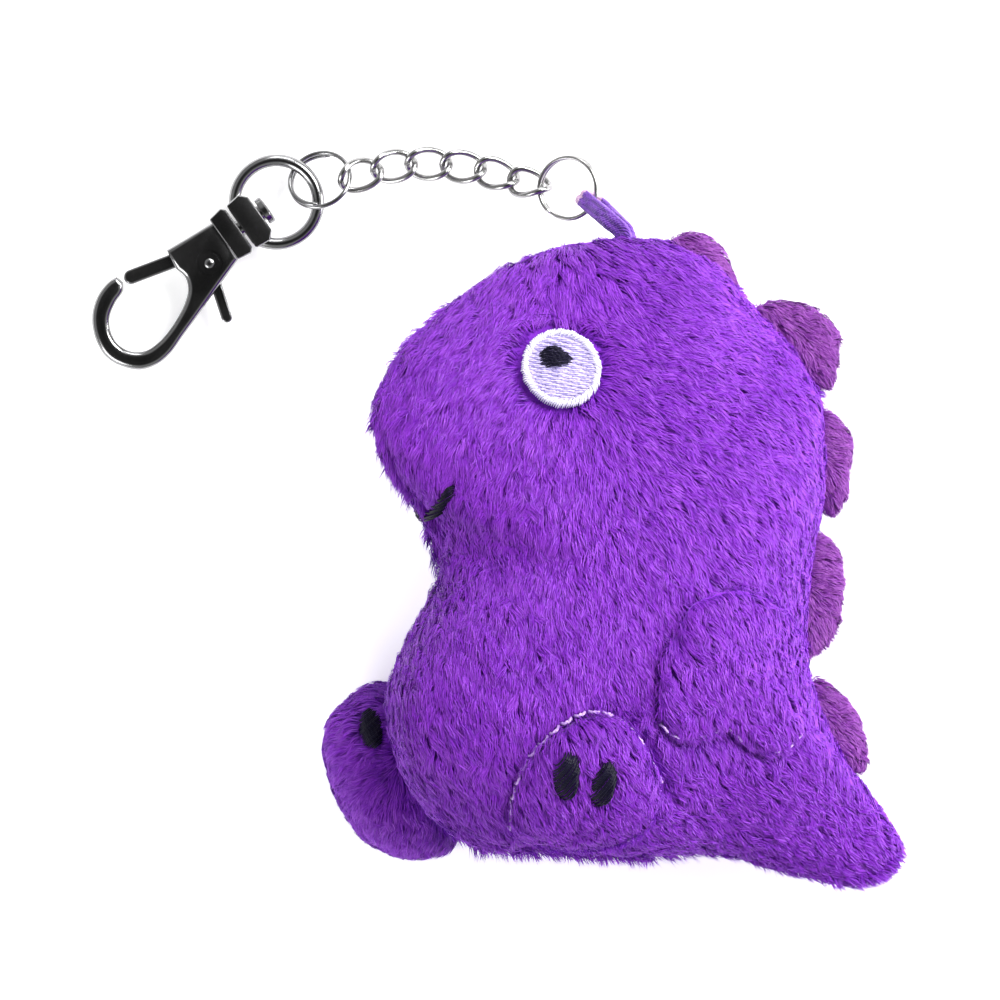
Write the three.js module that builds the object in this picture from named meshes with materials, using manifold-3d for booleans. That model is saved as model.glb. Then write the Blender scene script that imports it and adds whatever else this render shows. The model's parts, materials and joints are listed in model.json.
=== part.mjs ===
// Plush dinosaur keychain: a padded soft toy, a woven loop, two split rings, a curb chain
// and a swivel trigger clasp, lying on its side. Millimetres, +Z up.
import * as THREE from "three";
import { mergeVertices } from "three/addons/utils/BufferGeometryUtils.js";
import Module from "manifold-3d";

const wasm = await Module();
wasm.setup();

// Sizes shared by the whole toy
const GAP = 0.3; // clearance between two sewn or fitted pieces
const SHELL = 1.5; // thickness of the pile fabric
const YAW = THREE.MathUtils.degToRad(15); // the toy lies with its front raised this much
const MID_HEIGHT = 17.2; // height of the middle seam over the table
const BELLY = new THREE.Vector2(18, -12); // middle of the belly, from which the outline is measured
const OUTLINE_SCALE = 1; // length and height of the toy
const FULLNESS = 1; // thickness of the toy
const STUFFING_EASE = 1.4; // how far the filling stays inside the fabric
const RIM_POWER = 2.6; // how square the padding is toward the seam
const GUSSET_HALF = 4; // half width of the chin and belly gusset
const GUSSET_FROM = THREE.MathUtils.degToRad(166);
const GUSSET_TO = THREE.MathUtils.degToRad(236);
const GUSSET_TAPER = THREE.MathUtils.degToRad(16);
const PANEL_ANGLES = 46;
const PANEL_RINGS = 5;

// Outline of the body seen from the side, measured from the middle of the belly
const BODY_OUTLINE = [
  [3, 51.8], [-3.5, 51.9], [-10, 51], [-18.8, 47], [-28.2, 40.8], [-34.8, 34.4], [-38.6, 25.6], [-38, 20.8],
  [-36, 15.8], [-29.8, 8.5], [-27.3, 1], [-31.4, -7.2], [-35.1, -15.8], [-34.8, -23.2], [-32.6, -30],
  [-28.8, -35.8], [-23, -40], [-10.5, -41.2], [3, -42], [14, -41.3], [22.2, -43], [29.2, -45],
  [37, -46.4], [41.6, -44.7], [43.9, -40.7], [43.2, -37], [39.6, -33], [35, -27.5], [31.4, -19.8],
  [29, -12], [29, -3], [30, 4.5], [31.6, 12.8], [31.8, 21.8], [30.9, 29], [27, 35.2], [20, 42.2],
  [14, 48.6], [9, 51.2],
];

// Padding: each place pulls the half thickness near it toward its own value
const PADDING = [
  { at: [-30, 24], reach: 13, half: 12.5 },
  { at: [-6, 32], reach: 18, half: 17 },
  { at: [14, 30], reach: 16, half: 15.5 },
  { at: [0, 4], reach: 22, half: 18.5 },
  { at: [-4, -22], reach: 20, half: 19 },
  { at: [20, -24], reach: 12, half: 15 },
  { at: [38, -40], reach: 13, half: 8.5 },
];

// Hardware sizes
const LINK = { long: 6.5, wide: 4.3, wire: 1.0, twist: THREE.MathUtils.degToRad(45), play: 0.2, square: 0.28 };
const LINK_PITCH = LINK.long - LINK.wire - LINK.play; // from one knot of the chain to the next
const SMALL_RING = { radius: 4.6, wire: 0.72, turns: 1.54, pitch: 0.8 };
const EYE = { radius: 6.3, wire: 2.0, centre: 2.0, blockNear: -1.0, blockFar: -4.5, blockHalf: 4.2 };
const CLASP_HEIGHT = 3.4; // middle of the clasp over the table
const HOOK_THICK = 4.2;
const GATE_THICK = 1.9;
const GATE_OPEN = 22; // degrees
const LOOP_SWING = 12; // degrees each way

const COLOURS = {
  plush: [0x8a40cf, 0.95, 0],
  fin: [0xb255c8, 0.95, 0],
  white: [0xe9e4f4, 0.7, 0],
  black: [0x12101c, 0.6, 0],
  thread: [0xc9a2ea, 0.6, 0],
  webbing: [0x7a38c0, 0.85, 0],
  fibre: [0xf2f2f2, 1, 0],
  nickel: [0xb9b9bb, 0.25, 1],
  gunmetal: [0x3f4044, 0.22, 1],
  spring: [0xa8a8a8, 0.35, 1],
};

const model = new THREE.Group();
model.name = "plush_keychain";

// ---------------------------------------------------------------- building helpers

// Closed body through rows of points; every row is a closed ring with the same number of points.
// A looped body joins its last row to its first; any other has its two end rows capped.
function bodyThroughRows(rows, looped = false) {
  const across = rows[0].length;
  const points = rows.flat();
  const faces = [];
  const spans = looped ? rows.length : rows.length - 1;
  for (let r = 0; r < spans; r++) {
    const here = r * across;
    const there = ((r + 1) % rows.length) * across;
    for (let k = 0; k < across; k++) {
      const next = (k + 1) % across;
      faces.push(here + k, here + next, there + next, here + k, there + next, there + k);
    }
  }
  if (!looped) {
    for (const [start, flip] of [[0, true], [(rows.length - 1) * across, false]]) {
      const middle = new THREE.Vector3();
      for (let k = 0; k < across; k++) middle.addScaledVector(points[start + k], 1 / across);
      points.push(middle);
      const hub = points.length - 1;
      for (let k = 0; k < across; k++) {
        const next = (k + 1) % across;
        if (flip) faces.push(hub, start + next, start + k);
        else faces.push(hub, start + k, start + next);
      }
    }
  }
  const geometry = new THREE.BufferGeometry().setFromPoints(points);
  geometry.setIndex(faces);
  return outward(mergeVertices(geometry, 1e-4));
}

// Turns a closed geometry's faces outward.
function outward(geometry) {
  const place = geometry.attributes.position;
  const index = geometry.index.array;
  const [a, b, c] = [new THREE.Vector3(), new THREE.Vector3(), new THREE.Vector3()];
  let volume = 0;
  for (let i = 0; i < index.length; i += 3) {
    a.fromBufferAttribute(place, index[i]);
    b.fromBufferAttribute(place, index[i + 1]);
    c.fromBufferAttribute(place, index[i + 2]);
    volume += a.dot(b.cross(c));
  }
  if (volume < 0) {
    for (let i = 0; i < index.length; i += 3) {
      [index[i + 1], index[i + 2]] = [index[i + 2], index[i + 1]];
    }
  }
  return geometry;
}

function toSolid(geometry) {
  const plain = geometry.clone();
  plain.deleteAttribute("normal");
  plain.deleteAttribute("uv");
  const merged = mergeVertices(plain, 1e-4);
  const mesh = new wasm.Mesh({
    numProp: 3,
    vertProperties: new Float32Array(merged.attributes.position.array),
    triVerts: new Uint32Array(merged.index.array),
  });
  return new wasm.Manifold(mesh);
}

function toGeometry(solid) {
  const mesh = solid.getMesh();
  const places = new Float32Array(mesh.numVert * 3);
  for (let i = 0; i < mesh.numVert; i++) {
    const from = i * mesh.numProp;
    places.set(mesh.vertProperties.subarray(from, from + 3), i * 3);
  }
  const geometry = new THREE.BufferGeometry();
  geometry.setAttribute("position", new THREE.BufferAttribute(places, 3));
  geometry.setIndex(new THREE.BufferAttribute(new Uint32Array(mesh.triVerts), 1));
  return geometry;
}

// The largest body of a solid, without the crumbs a cut leaves.
function largest(solid) {
  return solid.decompose().reduce((best, one) => (one.volume() > best.volume() ? one : best));
}

function cut(geometry, ...tools) {
  const left = tools.reduce((solid, tool) => solid.subtract(toSolid(tool)), toSolid(geometry));
  return toGeometry(largest(left));
}

function join(...geometries) {
  return toGeometry(geometries.map(toSolid).reduce((whole, one) => whole.add(one)));
}

function addPiece(name, geometry, [colour, roughness, metalness], frame = null) {
  if (frame) geometry.applyMatrix4(frame);
  geometry.computeVertexNormals();
  const material = new THREE.MeshStandardMaterial({ color: colour, roughness, metalness });
  const mesh = new THREE.Mesh(geometry, material);
  mesh.name = name;
  model.add(mesh);
  return mesh;
}

// Sweeps a section along points. `side` fixes the section's first axis; without it the frame is
// carried along the path. A section is a list of [along side, along normal].
function sweep(points, section, { side = null, looped = false } = {}) {
  const count = points.length;
  const tangentAt = (i) => {
    const before = points[looped ? (i - 1 + count) % count : Math.max(i - 1, 0)];
    const after = points[looped ? (i + 1) % count : Math.min(i + 1, count - 1)];
    return new THREE.Vector3().subVectors(after, before).normalize();
  };
  let carried = new THREE.Vector3(0.13, 0.27, 0.95);
  const rows = points.map((point, i) => {
    const tangent = tangentAt(i);
    const first = (side ?? carried).clone().addScaledVector(tangent, -(side ?? carried).dot(tangent));
    first.normalize();
    carried = first.clone();
    const second = new THREE.Vector3().crossVectors(tangent, first);
    return section.map(([s, n]) => point.clone().addScaledVector(first, s).addScaledVector(second, n));
  });
  return bodyThroughRows(rows, looped);
}

function roundSection(radius, sides = 8) {
  return Array.from({ length: sides }, (_, k) => {
    const turn = (2 * Math.PI * k) / sides;
    return [radius * Math.cos(turn), radius * Math.sin(turn)];
  });
}

function curveThrough(list, count, closed = false) {
  const curve = new THREE.CatmullRomCurve3(list.map((p) => new THREE.Vector3(...p)), closed);
  const points = curve.getSpacedPoints(count);
  return closed ? points.slice(0, -1) : points;
}

// Flat plate from an outline, thickness centred on z = 0.
function plate(outline, thickness, bevel = 0) {
  const shape = new THREE.Shape(outline.map(([x, y]) => new THREE.Vector2(x, y)));
  const depth = thickness - 2 * bevel;
  const geometry = new THREE.ExtrudeGeometry(shape, {
    depth,
    bevelEnabled: bevel > 0,
    bevelSize: bevel,
    bevelThickness: bevel,
    bevelOffset: -bevel,
    bevelSegments: 1,
  });
  geometry.translate(0, 0, -depth / 2);
  return geometry;
}

function cylinder(radius, length, sides = 24) {
  return new THREE.CylinderGeometry(radius, radius, length, sides);
}

// ---------------------------------------------------------------- the padded body

// Half thickness of the padding at a place on the side view.
function halfThickness(p, q) {
  let total = 0;
  let weight = 1e-9;
  for (const { at, reach, half } of PADDING) {
    const away = Math.hypot(p - at[0] * OUTLINE_SCALE, q - at[1] * OUTLINE_SCALE);
    const pull = Math.exp(-((away / (reach * OUTLINE_SCALE)) ** 2));
    total += pull * half * FULLNESS;
    weight += pull;
  }
  return total / weight;
}

// Distance from the belly's middle to the outline, by angle, with the outline moved in by `inset`.
// Where a tight corner folds the moved outline over itself, its inmost run counts.
const RADIUS_STEPS = 720;
const radiusTables = new Map();
function radiusTable(inset) {
  const scaled = BODY_OUTLINE.map(([p, q]) => [p * OUTLINE_SCALE, q * OUTLINE_SCALE, 0]);
  const curve = curveThrough(scaled, 480, true);
  const moved = curve.map((point, i) => {
    const after = curve[(i + 1) % curve.length];
    const before = curve[(i - 1 + curve.length) % curve.length];
    const along = new THREE.Vector3().subVectors(after, before).normalize();
    // the outline runs anticlockwise, so its inside is on the left
    const p = point.x - along.y * inset;
    const q = point.y + along.x * inset;
    return [(Math.atan2(q, p) / (2 * Math.PI)) * RADIUS_STEPS, Math.hypot(p, q)];
  });
  const table = new Array(RADIUS_STEPS).fill(Infinity);
  moved.forEach(([from, near], i) => {
    const [to, far] = moved[(i + 1) % moved.length];
    let span = to - from;
    span -= Math.round(span / RADIUS_STEPS) * RADIUS_STEPS;
    const [low, high] = [Math.min(from, from + span), Math.max(from, from + span)];
    for (let step = Math.ceil(low); step <= high; step++) {
      const radius = near + ((far - near) * (step - from)) / (span || 1);
      const slot = (step + RADIUS_STEPS) % RADIUS_STEPS;
      table[slot] = Math.min(table[slot], radius);
    }
  });
  return table;
}

function radiusAt(angle, inset) {
  if (!radiusTables.has(inset)) radiusTables.set(inset, radiusTable(inset));
  const table = radiusTables.get(inset);
  const turns = angle / (2 * Math.PI);
  const place = (turns - Math.floor(turns)) * RADIUS_STEPS;
  const low = Math.floor(place) % RADIUS_STEPS;
  const share = place - Math.floor(place);
  return table[low] + (table[(low + 1) % RADIUS_STEPS] - table[low]) * share;
}

// Half distance between the two panels' edges: the gusset parts them along the throat and belly.
function seamHalf(angle) {
  const wanted = ((angle % (2 * Math.PI)) + 2 * Math.PI) % (2 * Math.PI);
  const inFrom = THREE.MathUtils.smoothstep(wanted, GUSSET_FROM, GUSSET_FROM + GUSSET_TAPER);
  const inTo = 1 - THREE.MathUtils.smoothstep(wanted, GUSSET_TO - GUSSET_TAPER, GUSSET_TO);
  return GAP / 2 + GUSSET_HALF * Math.min(inFrom, inTo);
}

// From the toy's own side view (p forward to back, q up, w toward its left) to the table's frame.
function lay(p, q, w) {
  return new THREE.Vector3(
    BELLY.x + p * Math.cos(YAW) + w * Math.sin(YAW),
    BELLY.y + q,
    MID_HEIGHT - p * Math.sin(YAW) + w * Math.cos(YAW),
  );
}

// A place on the body's skin: side +1 is the left panel, -1 the right; ring 0 is the middle, 1 the seam.
function skinAt(side, angle, ring, inset, lowest = -Infinity) {
  const reach = radiusAt(angle, inset) * ring;
  const p = reach * Math.cos(angle);
  const q = reach * Math.sin(angle);
  const seam = seamHalf(angle);
  const rise = Math.sqrt(Math.max(0, 1 - ring ** RIM_POWER));
  const w = seam + (halfThickness(p, q) - inset - seam) * rise;
  const place = lay(p, q, side * w);
  place.z = Math.max(place.z, lowest);
  return place;
}

function skinRow(side, ring, inset, lowest) {
  return Array.from({ length: PANEL_ANGLES }, (_, k) =>
    skinAt(side, (2 * Math.PI * k) / PANEL_ANGLES, ring, inset, lowest),
  );
}

const RINGS = Array.from({ length: PANEL_RINGS }, (_, k) => Math.sin((Math.PI / 2) * ((k + 1) / PANEL_RINGS)));
RINGS.unshift(0.09);
const RINGS_BACK = [...RINGS].reverse();

function panel(side) {
  const rows = RINGS.map((ring) => skinRow(side, ring, 0, 0));
  rows.push(...RINGS_BACK.map((ring) => skinRow(side, ring, SHELL, SHELL)));
  return bodyThroughRows(rows);
}

// Everything inside the skin once it is moved in (or out) by `inset`.
function bodyInside(inset) {
  const rows = RINGS.map((ring) => skinRow(1, ring, inset, inset));
  rows.push(...RINGS_BACK.map((ring) => skinRow(-1, ring, inset, inset)));
  return bodyThroughRows(rows);
}

// Place lifted off the skin at a point of the side view.
function liftedSkin(side, p, q, lift, lowest) {
  const at = (pp, qq) => {
    const angle = Math.atan2(qq, pp);
    return skinAt(side, angle, Math.min(Math.hypot(pp, qq) / radiusAt(angle, 0), 1), 0);
  };
  const here = at(p, q);
  const step = 0.4;
  const alongP = at(p + step, q).sub(at(p - step, q));
  const alongQ = at(p, q + step).sub(at(p, q - step));
  const normal = alongP.cross(alongQ).normalize().multiplyScalar(side);
  here.addScaledVector(normal, lift);
  here.z = Math.max(here.z, lowest);
  return here;
}

// A patch laid on the skin: its outer face bulges by `bulge` over `thick`.
function patch(side, outline, { thick, bulge = 0, rings = 3, around = 24, grow = 0, deeper = 0, under = 0 }) {
  const middle = new THREE.Vector2();
  outline.forEach(([p, q]) => middle.add(new THREE.Vector2(p, q).divideScalar(outline.length)));
  const rim = curveThrough(outline.map(([p, q]) => [p * OUTLINE_SCALE, q * OUTLINE_SCALE, 0]), around, true);
  middle.multiplyScalar(OUTLINE_SCALE);
  const row = (share, lift, lowest) =>
    rim.map((point) => {
      const spoke = new THREE.Vector2(point.x - middle.x, point.y - middle.y);
      const size = (spoke.length() + grow) / spoke.length();
      const p = middle.x + spoke.x * share * size;
      const q = middle.y + spoke.y * share * size;
      return liftedSkin(side, p, q, lift, lowest);
    });
  const shares = Array.from({ length: rings }, (_, k) => Math.sin((Math.PI / 2) * ((k + 1) / rings)));
  shares.unshift(0.12);
  const rise = (share) => GAP + under + thick + bulge * Math.sqrt(Math.max(0, 1 - share ** RIM_POWER));
  const rows = shares.map((share) => row(share, rise(share), -deeper));
  rows.push(...shares.reverse().map((share) => row(share, GAP + under - deeper, thick + deeper)));
  return bodyThroughRows(rows);
}

// Runs a thread over the skin through places of the side view, dipping at every stitch.
function runningThread(side, places, { radius, stitches, lift = 0.75, dip = 0.18 }) {
  const scaled = places.map(([p, q]) => [p * OUTLINE_SCALE, q * OUTLINE_SCALE, 0]);
  const steps = stitches * 3;
  const points = curveThrough(scaled, steps).map((point, i) =>
    liftedSkin(side, point.x, point.y, lift + dip * Math.cos((2 * Math.PI * i) / 3), 0.5),
  );
  return sweep(points, roundSection(radius, 5));
}

// A flat padded fin in the seam, drawn as an outline of the side view.
function fin(outline, half) {
  const scaled = outline.map(([p, q]) => [p * OUTLINE_SCALE, q * OUTLINE_SCALE, 0]);
  const rim = curveThrough(scaled, 18, true);
  const middle = rim.reduce((sum, p) => sum.addScaledVector(p, 1 / rim.length), new THREE.Vector3());
  const row = (share, w) =>
    rim.map((point) => {
      const at = middle.clone().lerp(point, share);
      return lay(at.x, at.y, w);
    });
  const shares = [0.35, 0.75, 0.95, 1];
  const rise = (share) => half * Math.sqrt(Math.max(0, 1 - share ** RIM_POWER));
  const rows = shares.map((share) => row(share, rise(share)));
  rows.push(...[...shares].reverse().slice(1).map((share) => row(share, -rise(share))));
  return bodyThroughRows(rows);
}

const outsideOfBody = bodyInside(-GAP);

// ---------------------------------------------------------------- the hanging loop's path

const LOOP = { wide: 2.5, thick: 0.95, open: 1.75, lean: THREE.MathUtils.degToRad(22) };
const LOOP_SEW = lay(0.6 * OUTLINE_SCALE, radiusAt(Math.PI / 2, 0) + 0.2, 0.3); // entry in the head seam
const RING_FROM_SEW = new THREE.Vector3(-8.36, 6.8, -9.13); // where the split ring by the toy lies
const RING_CENTRE = LOOP_SEW.clone().add(RING_FROM_SEW);
const RING_TILT = THREE.MathUtils.degToRad(24);
const FOLD_TURN = THREE.MathUtils.degToRad(-30);
const LOOP_FOLD = new THREE.Vector3(
  RING_CENTRE.x + SMALL_RING.radius * Math.cos(FOLD_TURN) * Math.cos(RING_TILT),
  RING_CENTRE.y + SMALL_RING.radius * Math.sin(FOLD_TURN),
  RING_CENTRE.z + SMALL_RING.radius * Math.cos(FOLD_TURN) * Math.sin(RING_TILT),
);

// Centre line from the fold round the ring to the sewn end inside the head.
const loopLine = new THREE.CatmullRomCurve3([
  LOOP_FOLD,
  LOOP_FOLD.clone().lerp(LOOP_SEW, 0.3),
  LOOP_FOLD.clone().lerp(LOOP_SEW, 0.7).add(new THREE.Vector3(0, 0, 0.7)),
  LOOP_SEW,
  LOOP_SEW.clone().add(new THREE.Vector3(0.6, -2.6, 0.4)),
]);

function hangingLoop(extra = 0) {
  const across = new THREE.Vector3().subVectors(LOOP_SEW, LOOP_FOLD).setZ(0).normalize();
  const flat = new THREE.Vector3(-across.y, across.x, 0);
  const side = flat.multiplyScalar(Math.cos(LOOP.lean)).add(new THREE.Vector3(0, 0, Math.sin(LOOP.lean)));
  const legs = 9;
  const leg = (sign) =>
    Array.from({ length: legs }, (_, k) => {
      const share = k / (legs - 1);
      const at = loopLine.getPointAt(share);
      const normal = loopLine.getTangentAt(share).cross(side).normalize();
      const closing = THREE.MathUtils.smoothstep(share, 0.25, 0.85);
      const spread = THREE.MathUtils.lerp(LOOP.open, LOOP.thick / 2 + 0.13, closing);
      return at.addScaledVector(normal, sign * spread);
    });
  const back = loopLine.getTangentAt(0).negate();
  const out = loopLine.getTangentAt(0).cross(side).normalize();
  const turn = [60, 30, 0, -30, -60].map((angle) => {
    const rad = THREE.MathUtils.degToRad(angle);
    return LOOP_FOLD.clone()
      .addScaledVector(back, LOOP.open * 1.15 * Math.cos(rad))
      .addScaledVector(out, LOOP.open * Math.sin(rad));
  });
  const points = [...leg(1).reverse(), ...turn, ...leg(-1)];
  const w = LOOP.wide / 2 + extra;
  const t = LOOP.thick / 2 + extra;
  const c = 0.25;
  const section = [[w, t - c], [w - c, t], [c - w, t], [-w, t - c], [-w, c - t], [c - w, -t], [w - c, -t], [w, c - t]];
  return sweep(points, section, { side });
}

// Room in the head seam for the loop's sewn end to flex.
function loopRoom() {
  const flex = 2 * LOOP.wide * Math.sin(THREE.MathUtils.degToRad(LOOP_SWING));
  const wide = LOOP.wide + flex + 2 * GAP + 0.6;
  const high = 2 * LOOP.thick + LOOP.wide * Math.sin(LOOP.lean) + 4 * GAP;
  const room = new THREE.BoxGeometry(wide, 8, high + 0.6);
  room.translate(LOOP_SEW.x + 0.35, LOOP_SEW.y - 0.2, LOOP_SEW.z + 0.2);
  return room;
}

// ---------------------------------------------------------------- sewn pieces

const WING = [
  [6.6, -3.6], [4.4, -7.8], [2.4, -11.4], [1.7, -15.3], [1.9, -18.8], [3.8, -21.8], [8.8, -22], [12.7, -21.1],
  [15.4, -22.9], [18.2, -24.4], [21.4, -23.6], [23.4, -19.5], [24.4, -13.5], [22.6, -7.5], [18, -3.4], [12, -1.8],
];
const FOOT_PAD = [
  [-18.4, -36.4], [-18.8, -33], [-18.3, -30], [-17.2, -26.9], [-15.2, -24.4], [-12.8, -22.1], [-9.8, -20.7],
  [-6.8, -20.6], [-4.3, -21.7], [-2.2, -23.8], [-0.4, -26.5], [1.6, -30.6], [1.2, -34.8], [-1.5, -37.6],
  [-7, -38.8], [-13.5, -38.4],
];
const EYE_SPOT = { at: [-12.3, 31.6], radius: 5.8, thick: 0.7 };
const PUPIL = [[-15.4, 33.2], [-13.6, 34.5], [-12, 34.4], [-10.9, 33], [-12.2, 31.9], [-14.8, 31.9]];
const MOUTH = [[-28.5, 14], [-28, 13.4], [-28.8, 10.4], [-29.5, 9.7], [-29.9, 10.2], [-29.6, 12]];
const TOES = [
  { name: "front", at: [-12.8, -27.9], half: [1.9, 3.0], lean: -0.1 },
  { name: "rear", at: [-7.1, -28.9], half: [1.8, 3.1], lean: -0.3 },
];

function ovalOutline([p, q], [halfP, halfQ], lean = 0, count = 12) {
  return Array.from({ length: count }, (_, k) => {
    const turn = (2 * Math.PI * k) / count;
    const a = halfP * Math.cos(turn);
    const b = halfQ * Math.sin(turn);
    return [p + a * Math.cos(lean) - b * Math.sin(lean), q + a * Math.sin(lean) + b * Math.cos(lean)];
  });
}

const WING_THICK = 0.75;
const sewRoom = loopRoom();
const wingPocket = patch(-1, WING, { thick: WING_THICK, around: 20, under: 0.2, grow: GAP, deeper: GAP });
addPiece("side_panel_left", cut(panel(1), sewRoom), COLOURS.plush);
addPiece("side_panel_right", cut(panel(-1), sewRoom, wingPocket), COLOURS.plush);
addPiece("stuffing", cut(bodyInside(SHELL + STUFFING_EASE), sewRoom), COLOURS.fibre);

// Chin and belly gusset: a narrow curved strip between the two panels.
function bellyGusset() {
  const rows = [];
  for (let k = 0; k < PANEL_ANGLES; k++) {
    const angle = (2 * Math.PI * k) / PANEL_ANGLES;
    const half = seamHalf(angle) - GAP;
    if (half < GAP) continue;
    const ring = (inset, w) => {
      const reach = radiusAt(angle, inset);
      return lay(reach * Math.cos(angle), reach * Math.sin(angle), w);
    };
    rows.push([ring(0, -half), ring(-0.25, 0), ring(0, half), ring(SHELL, half), ring(SHELL, 0), ring(SHELL, -half)]);
  }
  return bodyThroughRows(rows);
}
addPiece("belly_gusset", bellyGusset(), COLOURS.plush);

const leftFootPad = { thick: 0.5, bulge: 2.4, rings: 3, around: 22, under: 0.2 };
addPiece("foot_left", patch(1, FOOT_PAD, leftFootPad), COLOURS.plush);
const onFoot = leftFootPad.thick + leftFootPad.bulge;
for (const { name, at, half, lean } of TOES) {
  addPiece(
    "toe_left_" + name,
    patch(1, ovalOutline(at, half, lean), { thick: 0.5, rings: 2, around: 14, under: onFoot + 0.45 }),
    COLOURS.black,
  );
}

// The right foot is a padded lobe sewn on low behind the body.
const RIGHT_FOOT = [
  [-36.8, -15.6], [-40.5, -17.6], [-43.4, -20.6], [-44.4, -24], [-43.9, -28.5], [-42, -33.5], [-39, -38.4],
  [-34.5, -41.2], [-29.5, -42], [-25, -40], [-24.5, -32], [-28, -22], [-32.5, -16.5],
];
const FOOT_HIGH = 15.5;
function rightFoot() {
  const rim = curveThrough(RIGHT_FOOT.map(([p, q]) => [p * OUTLINE_SCALE, q * OUTLINE_SCALE, 0]), 22, true);
  const middle = new THREE.Vector3(-34 * OUTLINE_SCALE, -29 * OUTLINE_SCALE, 0);
  const halfHigh = FOOT_HIGH / 2;
  const row = (share, z) =>
    rim.map((point) => {
      const at = middle.clone().lerp(point, share);
      return new THREE.Vector3(BELLY.x + at.x, BELLY.y + at.y, Math.max(0, z));
    });
  const shares = [0.3, 0.6, 0.82, 0.95, 1];
  const rise = (share) => (halfHigh + 1) * Math.sqrt(1 - share ** RIM_POWER);
  const rows = shares.map((share) => row(share, halfHigh - 0.5 + rise(share)));
  rows.push(...[...shares].reverse().slice(1).map((share) => row(share, halfHigh - 0.5 - rise(share))));
  return bodyThroughRows(rows);
}
addPiece("foot_right", cut(rightFoot(), outsideOfBody), COLOURS.plush);

// Embroidered toes on the right foot's upper face, as thin raised ovals.
const RIGHT_TOES = [{ name: "front", at: [-37.0, -22.3], half: [1.7, 3.0], lean: 0.1 }];
for (const { name, at, half, lean } of RIGHT_TOES) {
  const rim = ovalOutline(at, half, lean, 14).map(([p, q]) => [p * OUTLINE_SCALE, q * OUTLINE_SCALE]);
  const middle = [at[0] * OUTLINE_SCALE, at[1] * OUTLINE_SCALE];
  const high = (p, q) => {
    const away = Math.hypot((p / OUTLINE_SCALE + 34) / 11.5, (q / OUTLINE_SCALE + 29) / 13.5);
    return FOOT_HIGH / 2 - 0.5 + (FOOT_HIGH / 2 + 1) * Math.sqrt(Math.max(0.02, 1 - away ** RIM_POWER));
  };
  const row = (share, lift) =>
    rim.map(([p, q]) => {
      const x = middle[0] + (p - middle[0]) * share;
      const y = middle[1] + (q - middle[1]) * share;
      return new THREE.Vector3(BELLY.x + x, BELLY.y + y, high(x, y) + lift);
    });
  const raw = bodyThroughRows([row(0.4, 1.2), row(1, 1.2), row(1, -2), row(0.4, -2)]);
  const footRoom = rightFoot();
  footRoom.translate(0, 0, GAP);
  addPiece("toe_right_" + name, cut(raw, footRoom, outsideOfBody), COLOURS.black);
}

for (const [side, name] of [[1, "left"], [-1, "right"]]) {
  addPiece("wing_" + name, patch(side, WING, { thick: WING_THICK, around: 20, under: 0.2 }), COLOURS.plush);
  const disc = ovalOutline(EYE_SPOT.at, [EYE_SPOT.radius, EYE_SPOT.radius], 0, 16);
  addPiece("eye_" + name, patch(side, disc, { thick: EYE_SPOT.thick, around: 24, rings: 2 }), COLOURS.white);
  addPiece(
    "pupil_" + name,
    patch(side, PUPIL, { thick: 0.35, around: 14, rings: 2, under: EYE_SPOT.thick + GAP }),
    COLOURS.black,
  );
  addPiece("mouth_" + name, patch(side, MOUTH, { thick: 0.4, around: 14, rings: 2 }), COLOURS.black);
}

const LEG_STITCH = [
  [-19.8, -36.6], [-20.3, -33], [-19.8, -29.6], [-18.5, -26.1], [-16.3, -23.3], [-13.4, -20.7], [-9.9, -19.2],
  [-6.6, -19.2], [-3.5, -20.4], [-1, -22.8], [0.8, -25.7], [3, -30.4],
];
addPiece("leg_topstitch", runningThread(1, LEG_STITCH, { radius: 0.22, stitches: 14 }), COLOURS.thread);
const WING_STITCH = [
  [5.2, -3.4], [3, -7.4], [1, -11], [0.4, -15.2], [0.5, -19.4], [2.6, -23], [8.6, -23.5], [12.3, -22.7],
  [14.9, -24.5], [18, -26.1], [22, -25.4],
];
addPiece("wing_topstitch", runningThread(1, WING_STITCH, { radius: 0.18, stitches: 13 }), COLOURS.thread);

const FINS = [
  [[4.8, 47], [7.2, 51.4], [10.5, 52.6], [13.8, 51.6], [16.6, 48.4], [18, 43.2], [12, 43]],
  [[20, 41.4], [23.7, 43], [27.6, 42.8], [31.4, 41], [33.8, 37.5], [34, 34.8], [32.4, 28.4], [26, 33]],
  [[30.6, 26.4], [33.8, 24.6], [35.8, 21.3], [35.4, 16.5], [35.2, 12.8], [32.6, 9.4], [28, 17]],
  [[28.6, 8.2], [33, 6.4], [34.4, 2], [34.2, -4.5], [33.2, -8.5], [28.4, -12], [26, -3]],
  [[29, -14.4], [33.6, -16.4], [36.4, -19.6], [38, -24], [38.2, -28.6], [35, -29], [28, -21]],
];
FINS.forEach((outline, i) => {
  addPiece("back_fin_" + (i + 1), cut(fin(outline, 2.1), outsideOfBody), COLOURS.fin);
});

addPiece("hanging_loop", hangingLoop(), COLOURS.webbing);

// ---------------------------------------------------------------- rings and chain

// Double-coil split ring about its own axis, centred on the origin.
function splitRing(startTurn) {
  const steps = 28;
  const points = Array.from({ length: steps + 1 }, (_, k) => {
    const turn = startTurn + (2 * Math.PI * SMALL_RING.turns * k) / steps;
    const rise = SMALL_RING.pitch * SMALL_RING.turns * (k / steps - 0.5);
    return new THREE.Vector3(SMALL_RING.radius * Math.cos(turn), SMALL_RING.radius * Math.sin(turn), rise);
  });
  return sweep(points, roundSection(SMALL_RING.wire / 2), { side: new THREE.Vector3(0, 0, 1) });
}

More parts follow.
